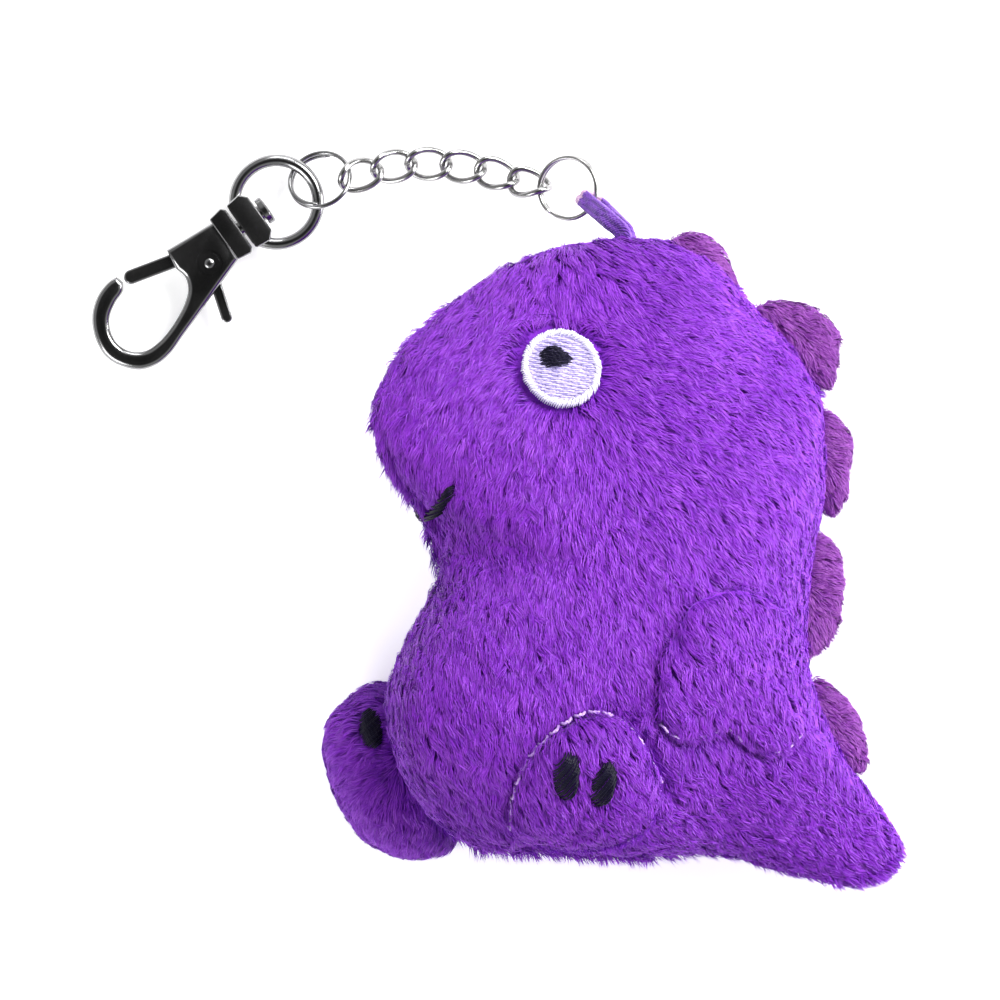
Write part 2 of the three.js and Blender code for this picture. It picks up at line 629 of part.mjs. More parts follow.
// Twisted oval link: its two ends stand a quarter turn apart, so every link is alike.
function curbLink() {
  const steps = 20;
  const halfLong = LINK.long / 2;
  const halfWide = LINK.wide / 2;
  const points = Array.from({ length: steps }, (_, k) => {
    const turn = (2 * Math.PI * k) / steps;
    const out = halfWide * Math.sin(turn) * (1 + LINK.square * Math.cos(turn) ** 2);
    const lean = -LINK.twist * Math.cos(turn);
    return new THREE.Vector3(halfLong * Math.cos(turn), out * Math.cos(lean), out * Math.sin(lean));
  });
  return sweep(points, roundSection(LINK.wire / 2, 8), { looped: true });
}

function frameAt(origin, heading, pitch = 0, roll = 0) {
  const turn = new THREE.Matrix4().makeRotationZ(heading);
  turn.multiply(new THREE.Matrix4().makeRotationY(-pitch));
  turn.multiply(new THREE.Matrix4().makeRotationX(roll));
  return turn.setPosition(origin);
}

// From the toy outward: the headings and heights at which the links lie on the table
const LINK_HEADINGS = [166, 162, 172, 178, 190, 199];
const KNOT_HEIGHTS = [6.8, 4.9, 3.8, 3.2, 3.0, 3.5, 4.8];
const LINK_ROLLS = [30, 18, 8, 0, 0, 0]; // degrees each link turns about its own length

const ringFrame = frameAt(RING_CENTRE, 0, RING_TILT);
addPiece("split_ring_lower", splitRing(THREE.MathUtils.degToRad(39)), COLOURS.nickel, ringFrame);

const TOUCH_TURN = THREE.MathUtils.degToRad(178);
const WIRE_PAST_KNOT = (LINK.long - LINK_PITCH) / 2; // from where two links meet to either wire
const KNOT_RADIUS = SMALL_RING.radius - WIRE_PAST_KNOT - 0.2;
let knot = new THREE.Vector3(
  RING_CENTRE.x + KNOT_RADIUS * Math.cos(TOUCH_TURN) * Math.cos(RING_TILT),
  RING_CENTRE.y + KNOT_RADIUS * Math.sin(TOUCH_TURN),
  KNOT_HEIGHTS[0],
);
LINK_HEADINGS.forEach((degrees, i) => {
  const heading = THREE.MathUtils.degToRad(degrees);
  const fall = KNOT_HEIGHTS[i + 1] - KNOT_HEIGHTS[i];
  const pitch = Math.asin(fall / LINK_PITCH);
  const along = new THREE.Vector3(Math.cos(heading) * Math.cos(pitch), Math.sin(heading) * Math.cos(pitch), Math.sin(pitch));
  const centre = knot.clone().addScaledVector(along, LINK_PITCH / 2);
  const roll = THREE.MathUtils.degToRad(LINK_ROLLS[i]);
  addPiece("chain_link_" + (i + 1), curbLink(), COLOURS.nickel, frameAt(centre, heading, pitch, roll));
  knot = knot.clone().addScaledVector(along, LINK_PITCH);
});

// The upper ring leans on the clasp's eye: it tilts about the line from its centre to the eye's
const EYE_FROM_RING = THREE.MathUtils.degToRad(206.7);
const UPPER_TILT = THREE.MathUtils.degToRad(33);
const UPPER_KNOT_TURN = THREE.MathUtils.degToRad(148);
const toKnot = new THREE.Vector3(Math.cos(UPPER_KNOT_TURN), Math.sin(UPPER_KNOT_TURN), 0);
toKnot.multiplyScalar(KNOT_RADIUS).applyMatrix4(frameAt(new THREE.Vector3(), EYE_FROM_RING, 0, UPPER_TILT));
const upperCentre = knot.clone().sub(toKnot);
const upperFrame = frameAt(upperCentre, EYE_FROM_RING, 0, UPPER_TILT);
addPiece("split_ring_upper", splitRing(THREE.MathUtils.degToRad(230)), COLOURS.gunmetal, upperFrame);

// ---------------------------------------------------------------- clasp

// The clasp's own frame: x runs from the rivet head toward the ring, y across, z up.
const CLASP_HEADING = THREE.MathUtils.degToRad(35.5);
const RING_TO_EYE = 7.4;
const eyeCentre = upperCentre.clone().add(
  new THREE.Vector3(Math.cos(EYE_FROM_RING), Math.sin(EYE_FROM_RING), 0).multiplyScalar(RING_TO_EYE),
);
const claspOrigin = new THREE.Vector3(
  eyeCentre.x - EYE.centre * Math.cos(CLASP_HEADING),
  eyeCentre.y - EYE.centre * Math.sin(CLASP_HEADING),
  CLASP_HEIGHT,
);
const claspFrame = frameAt(claspOrigin, CLASP_HEADING);

function swivelEye() {
  const steps = 30;
  const ring = Array.from({ length: steps }, (_, k) => {
    const turn = (2 * Math.PI * k) / steps;
    return new THREE.Vector3(EYE.centre + EYE.radius * Math.cos(turn), EYE.radius * Math.sin(turn), 0);
  });
  const torus = sweep(ring, roundSection(EYE.wire / 2, 10), { looped: true, side: new THREE.Vector3(0, 0, 1) });
  const h = EYE.blockHalf;
  const c = 1.1;
  const n = EYE.blockNear;
  const f = EYE.blockFar;
  const block = plate([[n, -h + c], [n, h - c], [n - c, h], [f, h - 0.3], [f, -h + 0.3], [n - c, -h]], 5.0, 0.5);
  const bore = cylinder(RIVET.shank + GAP, 12);
  bore.rotateZ(Math.PI / 2);
  bore.translate((n + f) / 2, 0, 0);
  const trim = new THREE.BoxGeometry(4, 3 * h, 8);
  trim.translate(f - 2, 0, 0);
  return cut(join(torus, block), bore, trim);
}

const RIVET = { shank: 1.3, head: 2.2, headThick: 1.1, into: -9.5 };
function swivelRivet() {
  const head = EYE.blockNear + GAP + RIVET.headThick;
  const profile = [
    [0, RIVET.into], [RIVET.shank, RIVET.into], [RIVET.shank, EYE.blockNear + GAP],
    [RIVET.head, EYE.blockNear + GAP], [RIVET.head, head - 0.3], [RIVET.head - 0.3, head], [0, head],
  ];
  const body = new THREE.LatheGeometry(profile.map(([r, x]) => new THREE.Vector2(r, x)), 20);
  body.rotateZ(-Math.PI / 2);
  return outward(mergeVertices(stripped(body), 1e-4));
}

function stripped(geometry) {
  geometry.deleteAttribute("normal");
  geometry.deleteAttribute("uv");
  return geometry;
}

const HOOK = [
  [-7.4, -3.6], [-12.5, -5.3], [-17.4, -7.0], [-21, -8.2], [-24.2, -9.3], [-26.8, -9.5], [-29.3, -8.7],
  [-31.2, -6.8], [-32.4, -4.2], [-32.2, -1.1], [-30.7, 2.0], [-28.2, 4.1], [-25.6, 4.9], [-24.1, 4.8],
  [-23.9, 3.6], [-24.7, 2.5], [-26.5, 1.8], [-28.5, 0.5], [-29.6, -1.2], [-29.9, -3.4], [-29.0, -5.5],
  [-27.1, -6.8], [-24.7, -6.9], [-22.5, -6.4], [-20.4, -5.6], [-18.1, -4.4], [-16.5, -3.0], [-15.8, -1.2],
  [-16.2, 0.6], [-15.7, 3.7], [-7.4, 3.0],
];
const COLLAR = { near: -4.9, far: -7.8, half: 4.1, thick: 5.6 };
const PIN = { at: [-11.6, -1.7], shank: 0.8, head: 1.45, headThick: 0.4, recess: 0.5 };
const GATE = { tip: [-22.3, 3.5], elbow: [-15.2, 1.65], arm: 1.1, lever: [-14.2, -9.8], leverHalf: 0.85, hub: 1.9, spring: 2.9 };

// Rounded bar between two places of the clasp's plane.
function bar([x0, y0], [x1, y1], half, thickness) {
  const along = Math.atan2(y1 - y0, x1 - x0);
  const outline = [];
  for (let k = 0; k <= 4; k++) {
    const turn = along + Math.PI / 2 + (Math.PI * k) / 4;
    outline.push([x0 + half * Math.cos(turn), y0 + half * Math.sin(turn)]);
  }
  for (let k = 0; k <= 4; k++) {
    const turn = along - Math.PI / 2 + (Math.PI * k) / 4;
    outline.push([x1 + half * Math.cos(turn), y1 + half * Math.sin(turn)]);
  }
  return plate(outline, thickness);
}

function upright(radius, length, [x, y], z = 0, sides = 16) {
  const post = cylinder(radius, length, sides);
  post.rotateX(Math.PI / 2);
  post.translate(x, y, z);
  return post;
}

// Arm, lever and hub of the gate, grown by `extra` all round.
function gateShape(extra, thickness) {
  return join(
    bar(GATE.elbow, GATE.tip, GATE.arm + extra, thickness),
    bar(PIN.at, GATE.elbow, GATE.arm + extra, thickness),
    bar(PIN.at, GATE.lever, GATE.leverHalf + extra, thickness),
    upright(GATE.hub + extra, thickness, PIN.at),
  );
}

// Slot in the hook body: everywhere the gate passes between shut and open.
function gateSweep() {
  const steps = 4;
  const tools = [upright(GATE.spring, GATE_THICK + 2 * GAP, PIN.at)];
  for (let k = 0; k <= steps; k++) {
    const shape = gateShape(GAP, GATE_THICK + 2 * GAP);
    shape.translate(-PIN.at[0], -PIN.at[1], 0);
    shape.rotateZ(THREE.MathUtils.degToRad((GATE_OPEN * k) / steps));
    shape.translate(PIN.at[0], PIN.at[1], 0);
    tools.push(shape);
  }
  return join(...tools);
}

function hookBody() {
  const body = plate(HOOK, HOOK_THICK, 0.7);
  const half = COLLAR.half;
  const collar = plate(
    [[COLLAR.near, -half], [COLLAR.near, half], [COLLAR.far, half - 0.5], [COLLAR.far, 0.5 - half]],
    COLLAR.thick,
    0.5,
  );
  const bore = cylinder(RIVET.shank + GAP, 8);
  bore.rotateZ(Math.PI / 2);
  bore.translate(COLLAR.near - 0.9 - GAP - 0.1, 0, 0);
  const faces = [1, -1].map((side) =>
    upright(PIN.head + GAP, 2 * PIN.recess, PIN.at, (side * HOOK_THICK) / 2),
  );
  const hole = upright(PIN.shank + 0.15, HOOK_THICK + 2, PIN.at);
  return cut(join(body, collar), bore, gateSweep(), hole, ...faces);
}

function gate() {
  const hole = upright(PIN.shank + 0.15, GATE_THICK + 2, PIN.at);
  const springRoom = upright(GATE.spring - 0.1, GATE_THICK, PIN.at, GATE_THICK * 0.55);
  return cut(gateShape(0, GATE_THICK), hole, springRoom);
}

// Rivet through both cheeks, with a head in a recess on each face.
function gatePin() {
  const top = HOOK_THICK / 2 - PIN.recess + 0.1;
  const shank = upright(PIN.shank, 2 * top + 0.2, PIN.at);
  const heads = [1, -1].map((side) =>
    upright(PIN.head, PIN.headThick, PIN.at, side * (top + PIN.headThick / 2)),
  );
  return join(shank, ...heads);
}

function gateSpring() {
  const wire = 0.26;
  const coil = 1.55;
  const turns = 2.2;
  const steps = 26;
  const low = -0.12;
  const points = Array.from({ length: steps + 1 }, (_, k) => {
    const turn = Math.PI * 0.2 + (2 * Math.PI * turns * k) / steps;
    const rise = low + wire / 2 + (k / steps) * turns * (wire + 0.05);
    return new THREE.Vector3(
      PIN.at[0] + coil * Math.cos(turn),
      PIN.at[1] + coil * Math.sin(turn),
      rise + 0.24,
    );
  });
  return sweep(points, roundSection(wire / 2, 6), { side: new THREE.Vector3(0, 0, 1) });
}

addPiece("swivel_eye", swivelEye(), COLOURS.gunmetal, claspFrame);
addPiece("swivel_rivet", swivelRivet(), COLOURS.gunmetal, claspFrame);
addPiece("hook_body", hookBody(), COLOURS.gunmetal, claspFrame);
addPiece("gate", gate(), COLOURS.gunmetal, claspFrame);
addPiece("gate_pin", gatePin(), COLOURS.gunmetal, claspFrame);
addPiece("gate_spring", gateSpring(), COLOURS.spring, claspFrame);

// ---------------------------------------------------------------- place the group

const bounds = new THREE.Box3().setFromObject(model);
const middle = bounds.getCenter(new THREE.Vector3());
model.position.set(-middle.x, -middle.y, -bounds.min.z);

export default model;
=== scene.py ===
"""Plush dinosaur keychain: pile, embroidery, woven loop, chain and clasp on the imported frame."""
import json
import logging
import math
from dataclasses import dataclass, field
from enum import Enum
from typing import Any, Callable, Optional, Sequence

import bmesh
import bpy
import numpy as np
from mathutils import Matrix, Vector
from mathutils.kdtree import KDTree


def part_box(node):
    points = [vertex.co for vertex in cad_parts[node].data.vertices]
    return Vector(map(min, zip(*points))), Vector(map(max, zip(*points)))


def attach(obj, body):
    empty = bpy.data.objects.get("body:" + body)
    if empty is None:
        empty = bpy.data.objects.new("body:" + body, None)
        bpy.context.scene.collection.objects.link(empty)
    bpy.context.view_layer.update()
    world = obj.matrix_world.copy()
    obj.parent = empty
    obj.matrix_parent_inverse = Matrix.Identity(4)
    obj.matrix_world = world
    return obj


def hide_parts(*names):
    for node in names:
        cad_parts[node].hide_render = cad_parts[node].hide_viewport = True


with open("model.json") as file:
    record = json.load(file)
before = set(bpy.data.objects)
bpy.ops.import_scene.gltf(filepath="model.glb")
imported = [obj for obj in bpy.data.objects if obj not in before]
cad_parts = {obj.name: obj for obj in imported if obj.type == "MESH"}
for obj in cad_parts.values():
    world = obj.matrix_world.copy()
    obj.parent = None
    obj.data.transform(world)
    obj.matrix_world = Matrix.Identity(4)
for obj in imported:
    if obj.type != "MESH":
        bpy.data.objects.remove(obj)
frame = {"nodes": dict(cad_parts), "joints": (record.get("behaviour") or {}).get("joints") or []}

log = logging.getLogger("plush_keychain")

MM = 0.001
TOY = "plush_toy"
LEFT, RIGHT = 1, -1
PILE_ROOM = 0.9  # the pile stands this far over its backing
TABLE_CLEAR = 0.06  # nothing of the toy reaches below this height
SKIN_CLEAR = 0.45  # and nothing of its backing below this one
PATCH_CLEAR = {LEFT: 0.4, RIGHT: 0.25}  # nor of a patch sewn on either side
FOOT_RISE = 2.3  # the left foot's pad stands this far over the body
Colour = tuple[float, float, float]
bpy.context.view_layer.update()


# ---------------------------------------------------------------- shader tools


class Sock:
    """A shader output that can be written into expressions on values."""

    def __init__(self, shader: "Shader", out: bpy.types.NodeSocket) -> None:
        """Args: shader: the tree's owner. out: the output socket it stands for."""
        self.shader = shader
        self.out = out

    def _math(self, operation: str, first: Any, second: Any) -> "Sock":
        """Adds one Math node.

        Args:
            operation: name of the Math node's operation.
            first: first operand, a Sock or a number.
            second: second operand, a Sock or a number.

        Returns:
            The node's output.
        """
        return self.shader.node("ShaderNodeMath", {"operation": operation}, {0: first, 1: second})

    def __add__(self, other: Any) -> "Sock":
        """self + other."""
        return self._math("ADD", self, other)

    __radd__ = __add__

    def __sub__(self, other: Any) -> "Sock":
        """self - other."""
        return self._math("SUBTRACT", self, other)

    def __rsub__(self, other: Any) -> "Sock":
        """other - self."""
        return self._math("SUBTRACT", other, self)

    def __mul__(self, other: Any) -> "Sock":
        """self * other."""
        return self._math("MULTIPLY", self, other)

    __rmul__ = __mul__

    def __truediv__(self, other: Any) -> "Sock":
        """self / other."""
        return self._math("DIVIDE", self, other)

    def power(self, exponent: float) -> "Sock":
        """self raised to exponent."""
        return self._math("POWER", self, exponent)


class Shader:
    """A node material with one Principled surface."""

    def __init__(self, name: str, constants: dict[str, Any]) -> None:
        """Makes the material and sets what is the same all over it.

        Args:
            name: the material's name.
            constants: Principled socket names and their fixed values.
        """
        self.material = bpy.data.materials.new(name)
        self.material.use_nodes = True
        self.tree = self.material.node_tree
        self.tree.nodes.clear()
        self.surface = self.tree.nodes.new("ShaderNodeBsdfPrincipled")
        out = self.tree.nodes.new("ShaderNodeOutputMaterial")
        self.tree.links.new(self.surface.outputs[0], out.inputs["Surface"])
        for socket, value in constants.items():
            self.surface.inputs[socket].default_value = value

    def node(self, kind: str, settings: dict[str, Any], inputs: dict[Any, Any], out: Any = 0) -> Sock:
        """Adds any node.

        Args:
            kind: the node's type name.
            settings: properties set first; "stops" fills a colour ramp.
            inputs: socket names or indices with a Sock or a constant for each.
            out: name or index of the output wanted.

        Returns:
            That output.
        """
        made = self.tree.nodes.new(kind)
        for key, value in settings.items():
            if key == "stops":
                ramp = made.color_ramp
                while len(ramp.elements) < len(value):
                    ramp.elements.new(0.5)
                for element, (place, colour) in zip(ramp.elements, value):
                    element.position = place
                    element.color = (*colour, 1)
            else:
                setattr(made, key, value)
        for key, value in inputs.items():
            if isinstance(value, Sock):
                self.tree.links.new(value.out, made.inputs[key])
            else:
                made.inputs[key].default_value = value
        return Sock(self, made.outputs[out])

    def place(self) -> Sock:
        """Object coordinates, in metres."""
        return self.node("ShaderNodeTexCoord", {}, {}, "Object")

    def noise(self, scale: float, detail: float = 2.0, rough: float = 0.5) -> Sock:
        """Smooth noise over the object; scale is in cycles per metre."""
        sockets = {"Vector": self.place(), "Scale": scale, "Detail": detail, "Roughness": rough}
        return self.node("ShaderNodeTexNoise", {}, sockets, "Fac")

    def ramp(self, value: Sock, stops: Sequence[tuple[float, Colour]]) -> Sock:
        """A colour ramp read at value."""
        return self.node("ShaderNodeValToRGB", {"stops": stops}, {"Fac": value}, "Color")

    def blend(self, factor: Any, first: Any, second: Any) -> Sock:
        """Mixes two colours, each a Sock or three numbers."""
        first = first if isinstance(first, Sock) else (*first, 1)
        second = second if isinstance(second, Sock) else (*second, 1)
        sockets = {0: factor, 6: first, 7: second}
        return self.node("ShaderNodeMix", {"data_type": "RGBA"}, sockets, 2)

    def stored(self, name: str) -> Sock:
        """A value stored on the mesh."""
        return self.node("ShaderNodeAttribute", {"attribute_name": name}, {}, "Fac")

    def drive(self, socket: str, value: Sock) -> None:
        """Feeds a varying value into the surface."""
        self.tree.links.new(value.out, self.surface.inputs[socket])

    def bump(self, height: Sock, distance: float, strength: float) -> None:
        """Feeds a height field, in metres of distance, into the surface's normal."""
        sockets = {"Height": height, "Distance": distance, "Strength": strength}
        self.drive("Normal", self.node("ShaderNodeBump", {}, sockets, "Normal"))


@dataclass(frozen=True)
class PileFinish:
    """Short soft pile: painted shade darkens it at the root and a painted highlight lightens it at the tip,
    where it is silkier.
    """

    name: str
    root: Colour
    middle: Colour
    tip: Colour
    sheen: Colour

    def make(self) -> bpy.types.Material:
        """Returns the material."""
        constants = {
            "Sheen Weight": 0.18,
            "Sheen Roughness": 0.45,
            "Sheen Tint": (*self.sheen, 1),
            "Specular IOR Level": 0.28,
        }
        shader = Shader(self.name, constants)
        patches = shader.noise(95.0, 3.0)
        along = shader.stored("shade") + (patches - 0.5) * 0.28
        # The ramp's root colour is painted shade and its tip colour a painted highlight along each strand;
        # the noise adds random tone.
        colour = shader.ramp(along, [(0.05, self.root), (0.5, self.middle), (0.98, self.tip)])
        shader.drive("Base Color", colour)
        shader.drive("Roughness", 0.62 - shader.noise(700.0) * 0.2)
        return shader.material


@dataclass(frozen=True)
class BackingFinish:
    """The knitted backing that shows between the tufts of pile."""

    name: str
    deep: Colour
    light: Colour

    def make(self) -> bpy.types.Material:
        """Returns the material."""
        shader = Shader(self.name, {"Sheen Weight": 0.25, "Specular IOR Level": 0.2})
        nap = shader.noise(900.0, 4.0, 0.65)
        patches = shader.noise(120.0, 2.0)
        shader.drive("Base Color", shader.blend(nap * 0.6 + patches * 0.4, self.deep, self.light))
        shader.drive("Roughness", 0.8 + nap * 0.15)
        shader.bump(nap, 0.0004, 0.8)
        return shader.material


@dataclass(frozen=True)
class ThreadFinish:
    """Embroidery or sewing thread with its twist and silky shine."""

    name: str
    shadow: Colour
    light: Colour
    shine: float = 0.45
    fuzz: float = 0.2

    def make(self) -> bpy.types.Material:
        """Returns the material."""
        constants = {"Sheen Weight": self.fuzz, "Specular IOR Level": self.shine}
        shader = Shader(self.name, constants)
        ply = shader.node(
            "ShaderNodeTexWave",
            {"bands_direction": "DIAGONAL"},
            {"Vector": shader.place(), "Scale": 900.0, "Distortion": 2.0, "Detail": 1.0},
            "Fac",
        )
        tone = shader.noise(520.0, 3.0)
        shader.drive("Base Color", shader.blend(tone * 0.7 + ply * 0.3, self.shadow, self.light))
        shader.drive("Roughness", 0.5 - ply * 0.18)
        shader.bump(ply, 0.00006, 0.5)
        return shader.material


@dataclass(frozen=True)
class MetalFinish:
    """Plated metal with faint handling marks."""

    name: str
    dark: Colour
    light: Colour
    rough: float
    wear: float = 0.12

    def make(self) -> bpy.types.Material:
        """Returns the material."""
        shader = Shader(self.name, {"Metallic": 1.0})
        cloud = shader.noise(160.0, 3.0)
        grain = shader.noise(2600.0, 2.0, 0.7)
        shader.drive("Base Color", shader.blend(cloud, self.dark, self.light))
        shader.drive("Roughness", self.rough + cloud * self.wear + grain * 0.05)
        shader.bump(grain * 0.4 + cloud * 0.6, 0.00002, 0.25)
        return shader.material


@dataclass(frozen=True)
class TableFinish:
    """The pale light-table top."""

    name: str = "pale_table"

    def make(self) -> bpy.types.Material:
        """Returns the material."""
        shader = Shader(
            self.name,
            {"Specular IOR Level": 0.0, "Emission Color": (1, 1, 1, 1), "Emission Strength": 0.45},
        )
        speck = shader.noise(60.0, 2.0)
        shader.drive("Base Color", shader.blend(speck, (0.93, 0.93, 0.93), (0.95, 0.95, 0.95)))
        shader.drive("Roughness", 0.9 + speck * 0.05)
        return shader.material


class Finish(Enum):
    """The finishes of the toy and its hardware."""

    # Pile colours run root, middle, tip: the dark root is painted shade and the light tip a painted
    # highlight.
    PILE = PileFinish(
        "purple_pile", (0.11, 0.007, 0.33), (0.185, 0.013, 0.46), (0.33, 0.06, 0.66), (0.9, 0.6, 1.0)
    )
    FIN_PILE = PileFinish(
        "magenta_pile", (0.10, 0.009, 0.15), (0.20, 0.03, 0.31), (0.34, 0.09, 0.45), (1.0, 0.7, 1.0)
    )
    BACKING = BackingFinish("purple_backing", (0.16, 0.013, 0.42), (0.25, 0.03, 0.60))
    FIN_BACKING = BackingFinish("magenta_backing", (0.14, 0.015, 0.22), (0.24, 0.04, 0.35))
    WHITE_THREAD = ThreadFinish("white_embroidery", (0.62, 0.58, 0.80), (0.92, 0.90, 0.96))
    LILAC_THREAD = ThreadFinish("lilac_fill_embroidery", (0.34, 0.28, 0.62), (0.64, 0.57, 0.85))
    DARK_THREAD = ThreadFinish(
        "navy_black_embroidery", (0.002, 0.0015, 0.008), (0.008, 0.006, 0.022), 0.12, 0.0
    )
    LEG_THREAD = ThreadFinish("lilac_topstitch", (0.36, 0.16, 0.60), (0.72, 0.50, 0.86), 0.6)
    WEBBING = ThreadFinish("purple_braid", (0.07, 0.012, 0.24), (0.22, 0.06, 0.50), 0.4)
    WEBBING_WORN = ThreadFinish("lighter_fold_braid", (0.50, 0.26, 0.52), (0.85, 0.62, 0.80), 0.4)
    NICKEL = MetalFinish("bright_nickel_plate", (0.26, 0.26, 0.262), (0.44, 0.435, 0.43), 0.14)
    GUNMETAL = MetalFinish("gunmetal_plate", (0.22, 0.22, 0.225), (0.34, 0.34, 0.345), 0.10)
    SPRING = MetalFinish("spring_steel", (0.40, 0.40, 0.41), (0.60, 0.60, 0.60), 0.22)
    TABLE = TableFinish()

    @property
    def material(self) -> bpy.types.Material:
        """The Blender material, made the first time it is asked for."""
        return bpy.data.materials.get(self.value.name) or self.value.make()


# ---------------------------------------------------------------- mesh tools


def mesh_piece(
    name: str, verts: np.ndarray, faces: Sequence[Sequence[int]], finish: Finish, smooth: bool = True
) -> bpy.types.Object:
    """Makes an object from points in millimetres.

    Args:
        name: the piece's name.
        verts: points, N by 3.
        faces: vertex numbers of each face.
        finish: its finish.
        smooth: whether its faces shade smoothly.

    Returns:
        The new object.
    """
    mesh = bpy.data.meshes.new(name)
    mesh.from_pydata((np.asarray(verts, float) * MM).tolist(), [], [list(f) for f in faces])
    mesh.validate()
    mesh.polygons.foreach_set("use_smooth", [smooth] * len(mesh.polygons))
    mesh.materials.append(finish.material)
    piece = bpy.data.objects.new(name, mesh)
    bpy.context.collection.objects.link(piece)
    return piece


def fit(piece: bpy.types.Object, body: str, slot: str, *nodes: str) -> bpy.types.Object:
    """Puts a finished piece on its body and hides the nodes that it stands for."""
    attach(piece, body)
    if nodes:
        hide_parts(*nodes)
    log.info("%s: %d faces on %s", piece.name, len(piece.data.polygons), body)
    return piece


def outward(mesh: bpy.types.Mesh) -> None:
    """Turns the faces of a closed mesh outward."""
    built = bmesh.new()
    built.from_mesh(mesh)
    bmesh.ops.recalc_face_normals(built, faces=built.faces)
    built.to_mesh(mesh)
    built.free()


def boolean(piece: bpy.types.Object, tool: bpy.types.Object, operation: str) -> bpy.types.Object:
    """Cuts or joins piece with tool, which is used up."""
    outward(piece.data)
    outward(tool.data)
    modifier = piece.modifiers.new("cut", "BOOLEAN")
    modifier.object = tool
    modifier.operation = operation
    modifier.solver = "EXACT"
    bpy.context.view_layer.update()
    result = bpy.data.meshes.new_from_object(piece.evaluated_get(bpy.context.evaluated_depsgraph_get()))
    piece.modifiers.remove(modifier)
    piece.data = result
    bpy.data.objects.remove(tool)
    if not result.polygons:
        log.error("%s: nothing is left after %s", piece.name, operation)
    return piece


def spline(points: Sequence[Sequence[float]], count: int, closed: bool = False) -> np.ndarray:
    """A smooth centripetal curve through points, evenly spaced.

    Args:
        points: places that it passes through.
        count: how many points come back.
        closed: whether it returns to its start; the start isn't repeated.

    Returns:
        Points, count rows.
    """
    given = np.asarray(points, float)
    if closed:
        ext = np.vstack([given[-1:], given, given[:2]])
    else:
        ext = np.vstack([2 * given[:1] - given[1:2], given, 2 * given[-1:] - given[-2:-1]])
    steps = 24
    runs = []
    for i in range(1, len(ext) - 2):
        p0, p1, p2, p3 = ext[i - 1 : i + 3]
        t1 = max(np.linalg.norm(p1 - p0), 1e-6) ** 0.5
        t2 = t1 + max(np.linalg.norm(p2 - p1), 1e-6) ** 0.5
        t3 = t2 + max(np.linalg.norm(p3 - p2), 1e-6) ** 0.5
        t = np.linspace(t1, t2, steps, endpoint=False)[:, None]
        a1 = (t1 - t) / t1 * p0 + t / t1 * p1
        a2 = (t2 - t) / (t2 - t1) * p1 + (t - t1) / (t2 - t1) * p2
        a3 = (t3 - t) / (t3 - t2) * p2 + (t - t2) / (t3 - t2) * p3
        b1 = (t2 - t) / t2 * a1 + t / t2 * a2
        b2 = (t3 - t) / (t3 - t1) * a2 + (t - t1) / (t3 - t1) * a3
        runs.append((t2 - t) / (t2 - t1) * b1 + (t - t1) / (t2 - t1) * b2)
    dense = np.vstack(runs + [given[:1] if closed else given[-1:]])
    away = np.concatenate([[0], np.cumsum(np.linalg.norm(np.diff(dense, axis=0), axis=1))])
    wanted = np.linspace(0, away[-1], count, endpoint=not closed)
    return np.stack([np.interp(wanted, away, dense[:, k]) for k in range(given.shape[1])], axis=1)


def unit(vectors: np.ndarray) -> np.ndarray:
    """Rows scaled to length one."""
    return vectors / np.maximum(np.linalg.norm(vectors, axis=-1, keepdims=True), 1e-9)


def grid_faces(
    rows: int, across: int, wrap_rows: bool = False, wrap_across: bool = True
) -> list[list[int]]:
    """Quads of a grid of points laid out row after row."""
    faces = []
    for r in range(rows if wrap_rows else rows - 1):
        for k in range(across if wrap_across else across - 1):
            here, there = r * across, ((r + 1) % rows) * across
            after = (k + 1) % across
            faces.append([here + k, here + after, there + after, there + k])
    return faces


def sweep_grid(
    path: np.ndarray,
    section: np.ndarray,
    side: Optional[np.ndarray] = None,
    closed: bool = False,
    scale: Optional[np.ndarray] = None,
) -> tuple[np.ndarray, list[list[int]]]:
    """Sweeps a closed section along a path.

    Args:
        path: centre line, N by 3.
        section: places across it, M by 2, along side and along the other normal.
        side: fixed first axis of the section, or None for one carried along the path.
        closed: whether the path returns to its start.
        scale: size of the section at each point of the path.

    Returns:
        Points and faces, with capped ends where the path is open.
    """
    count = len(path)
    if closed:
        tangents = unit(np.roll(path, -1, axis=0) - np.roll(path, 1, axis=0))
    else:
        tangents = unit(np.gradient(path, axis=0))
    carried = np.array([0.13, 0.27, 0.95]) if side is None else side
    verts = []
    for i in range(count):
        first = carried - tangents[i] * np.dot(carried, tangents[i])
        first = first / np.linalg.norm(first)
        carried = first if side is None else side
        second = np.cross(tangents[i], first)
        size = 1.0 if scale is None else scale[i]
        verts.append(path[i] + size * (section[:, :1] * first + section[:, 1:] * second))
    faces = grid_faces(count, len(section), wrap_rows=closed)
    if not closed:
        last = (count - 1) * len(section)
        faces.append(list(range(len(section)))[::-1])
        faces.append([last + k for k in range(len(section))])
    return np.vstack(verts), faces


def round_section(radius: float, sides: int, flat: float = 1.0) -> np.ndarray:
    """A round or flattened section."""
    turn = np.linspace(0, 2 * math.pi, sides, endpoint=False)
    return np.stack([radius * np.cos(turn), radius * flat * np.sin(turn)], axis=1)


def merge_grids(grids: Sequence[tuple[np.ndarray, list[list[int]]]]) -> tuple[np.ndarray, list[list[int]]]:
    """Joins several sets of points and faces into one."""
    verts, faces, offset = [], [], 0
    for points, quads in grids:
        verts.append(points)
        faces.extend([[i + offset for i in quad] for quad in quads])
        offset += len(points)
    return np.vstack(verts), faces


def corners_normals(verts: np.ndarray, tris: np.ndarray) -> np.ndarray:
    """Area-weighted normals at the points of a triangle mesh."""
    a, b, c = verts[tris[:, 0]], verts[tris[:, 1]], verts[tris[:, 2]]
    face = np.cross(b - a, c - a)
    total = np.zeros_like(verts)
    for k in range(3):
        np.add.at(total, tris[:, k], face)
    return unit(total)


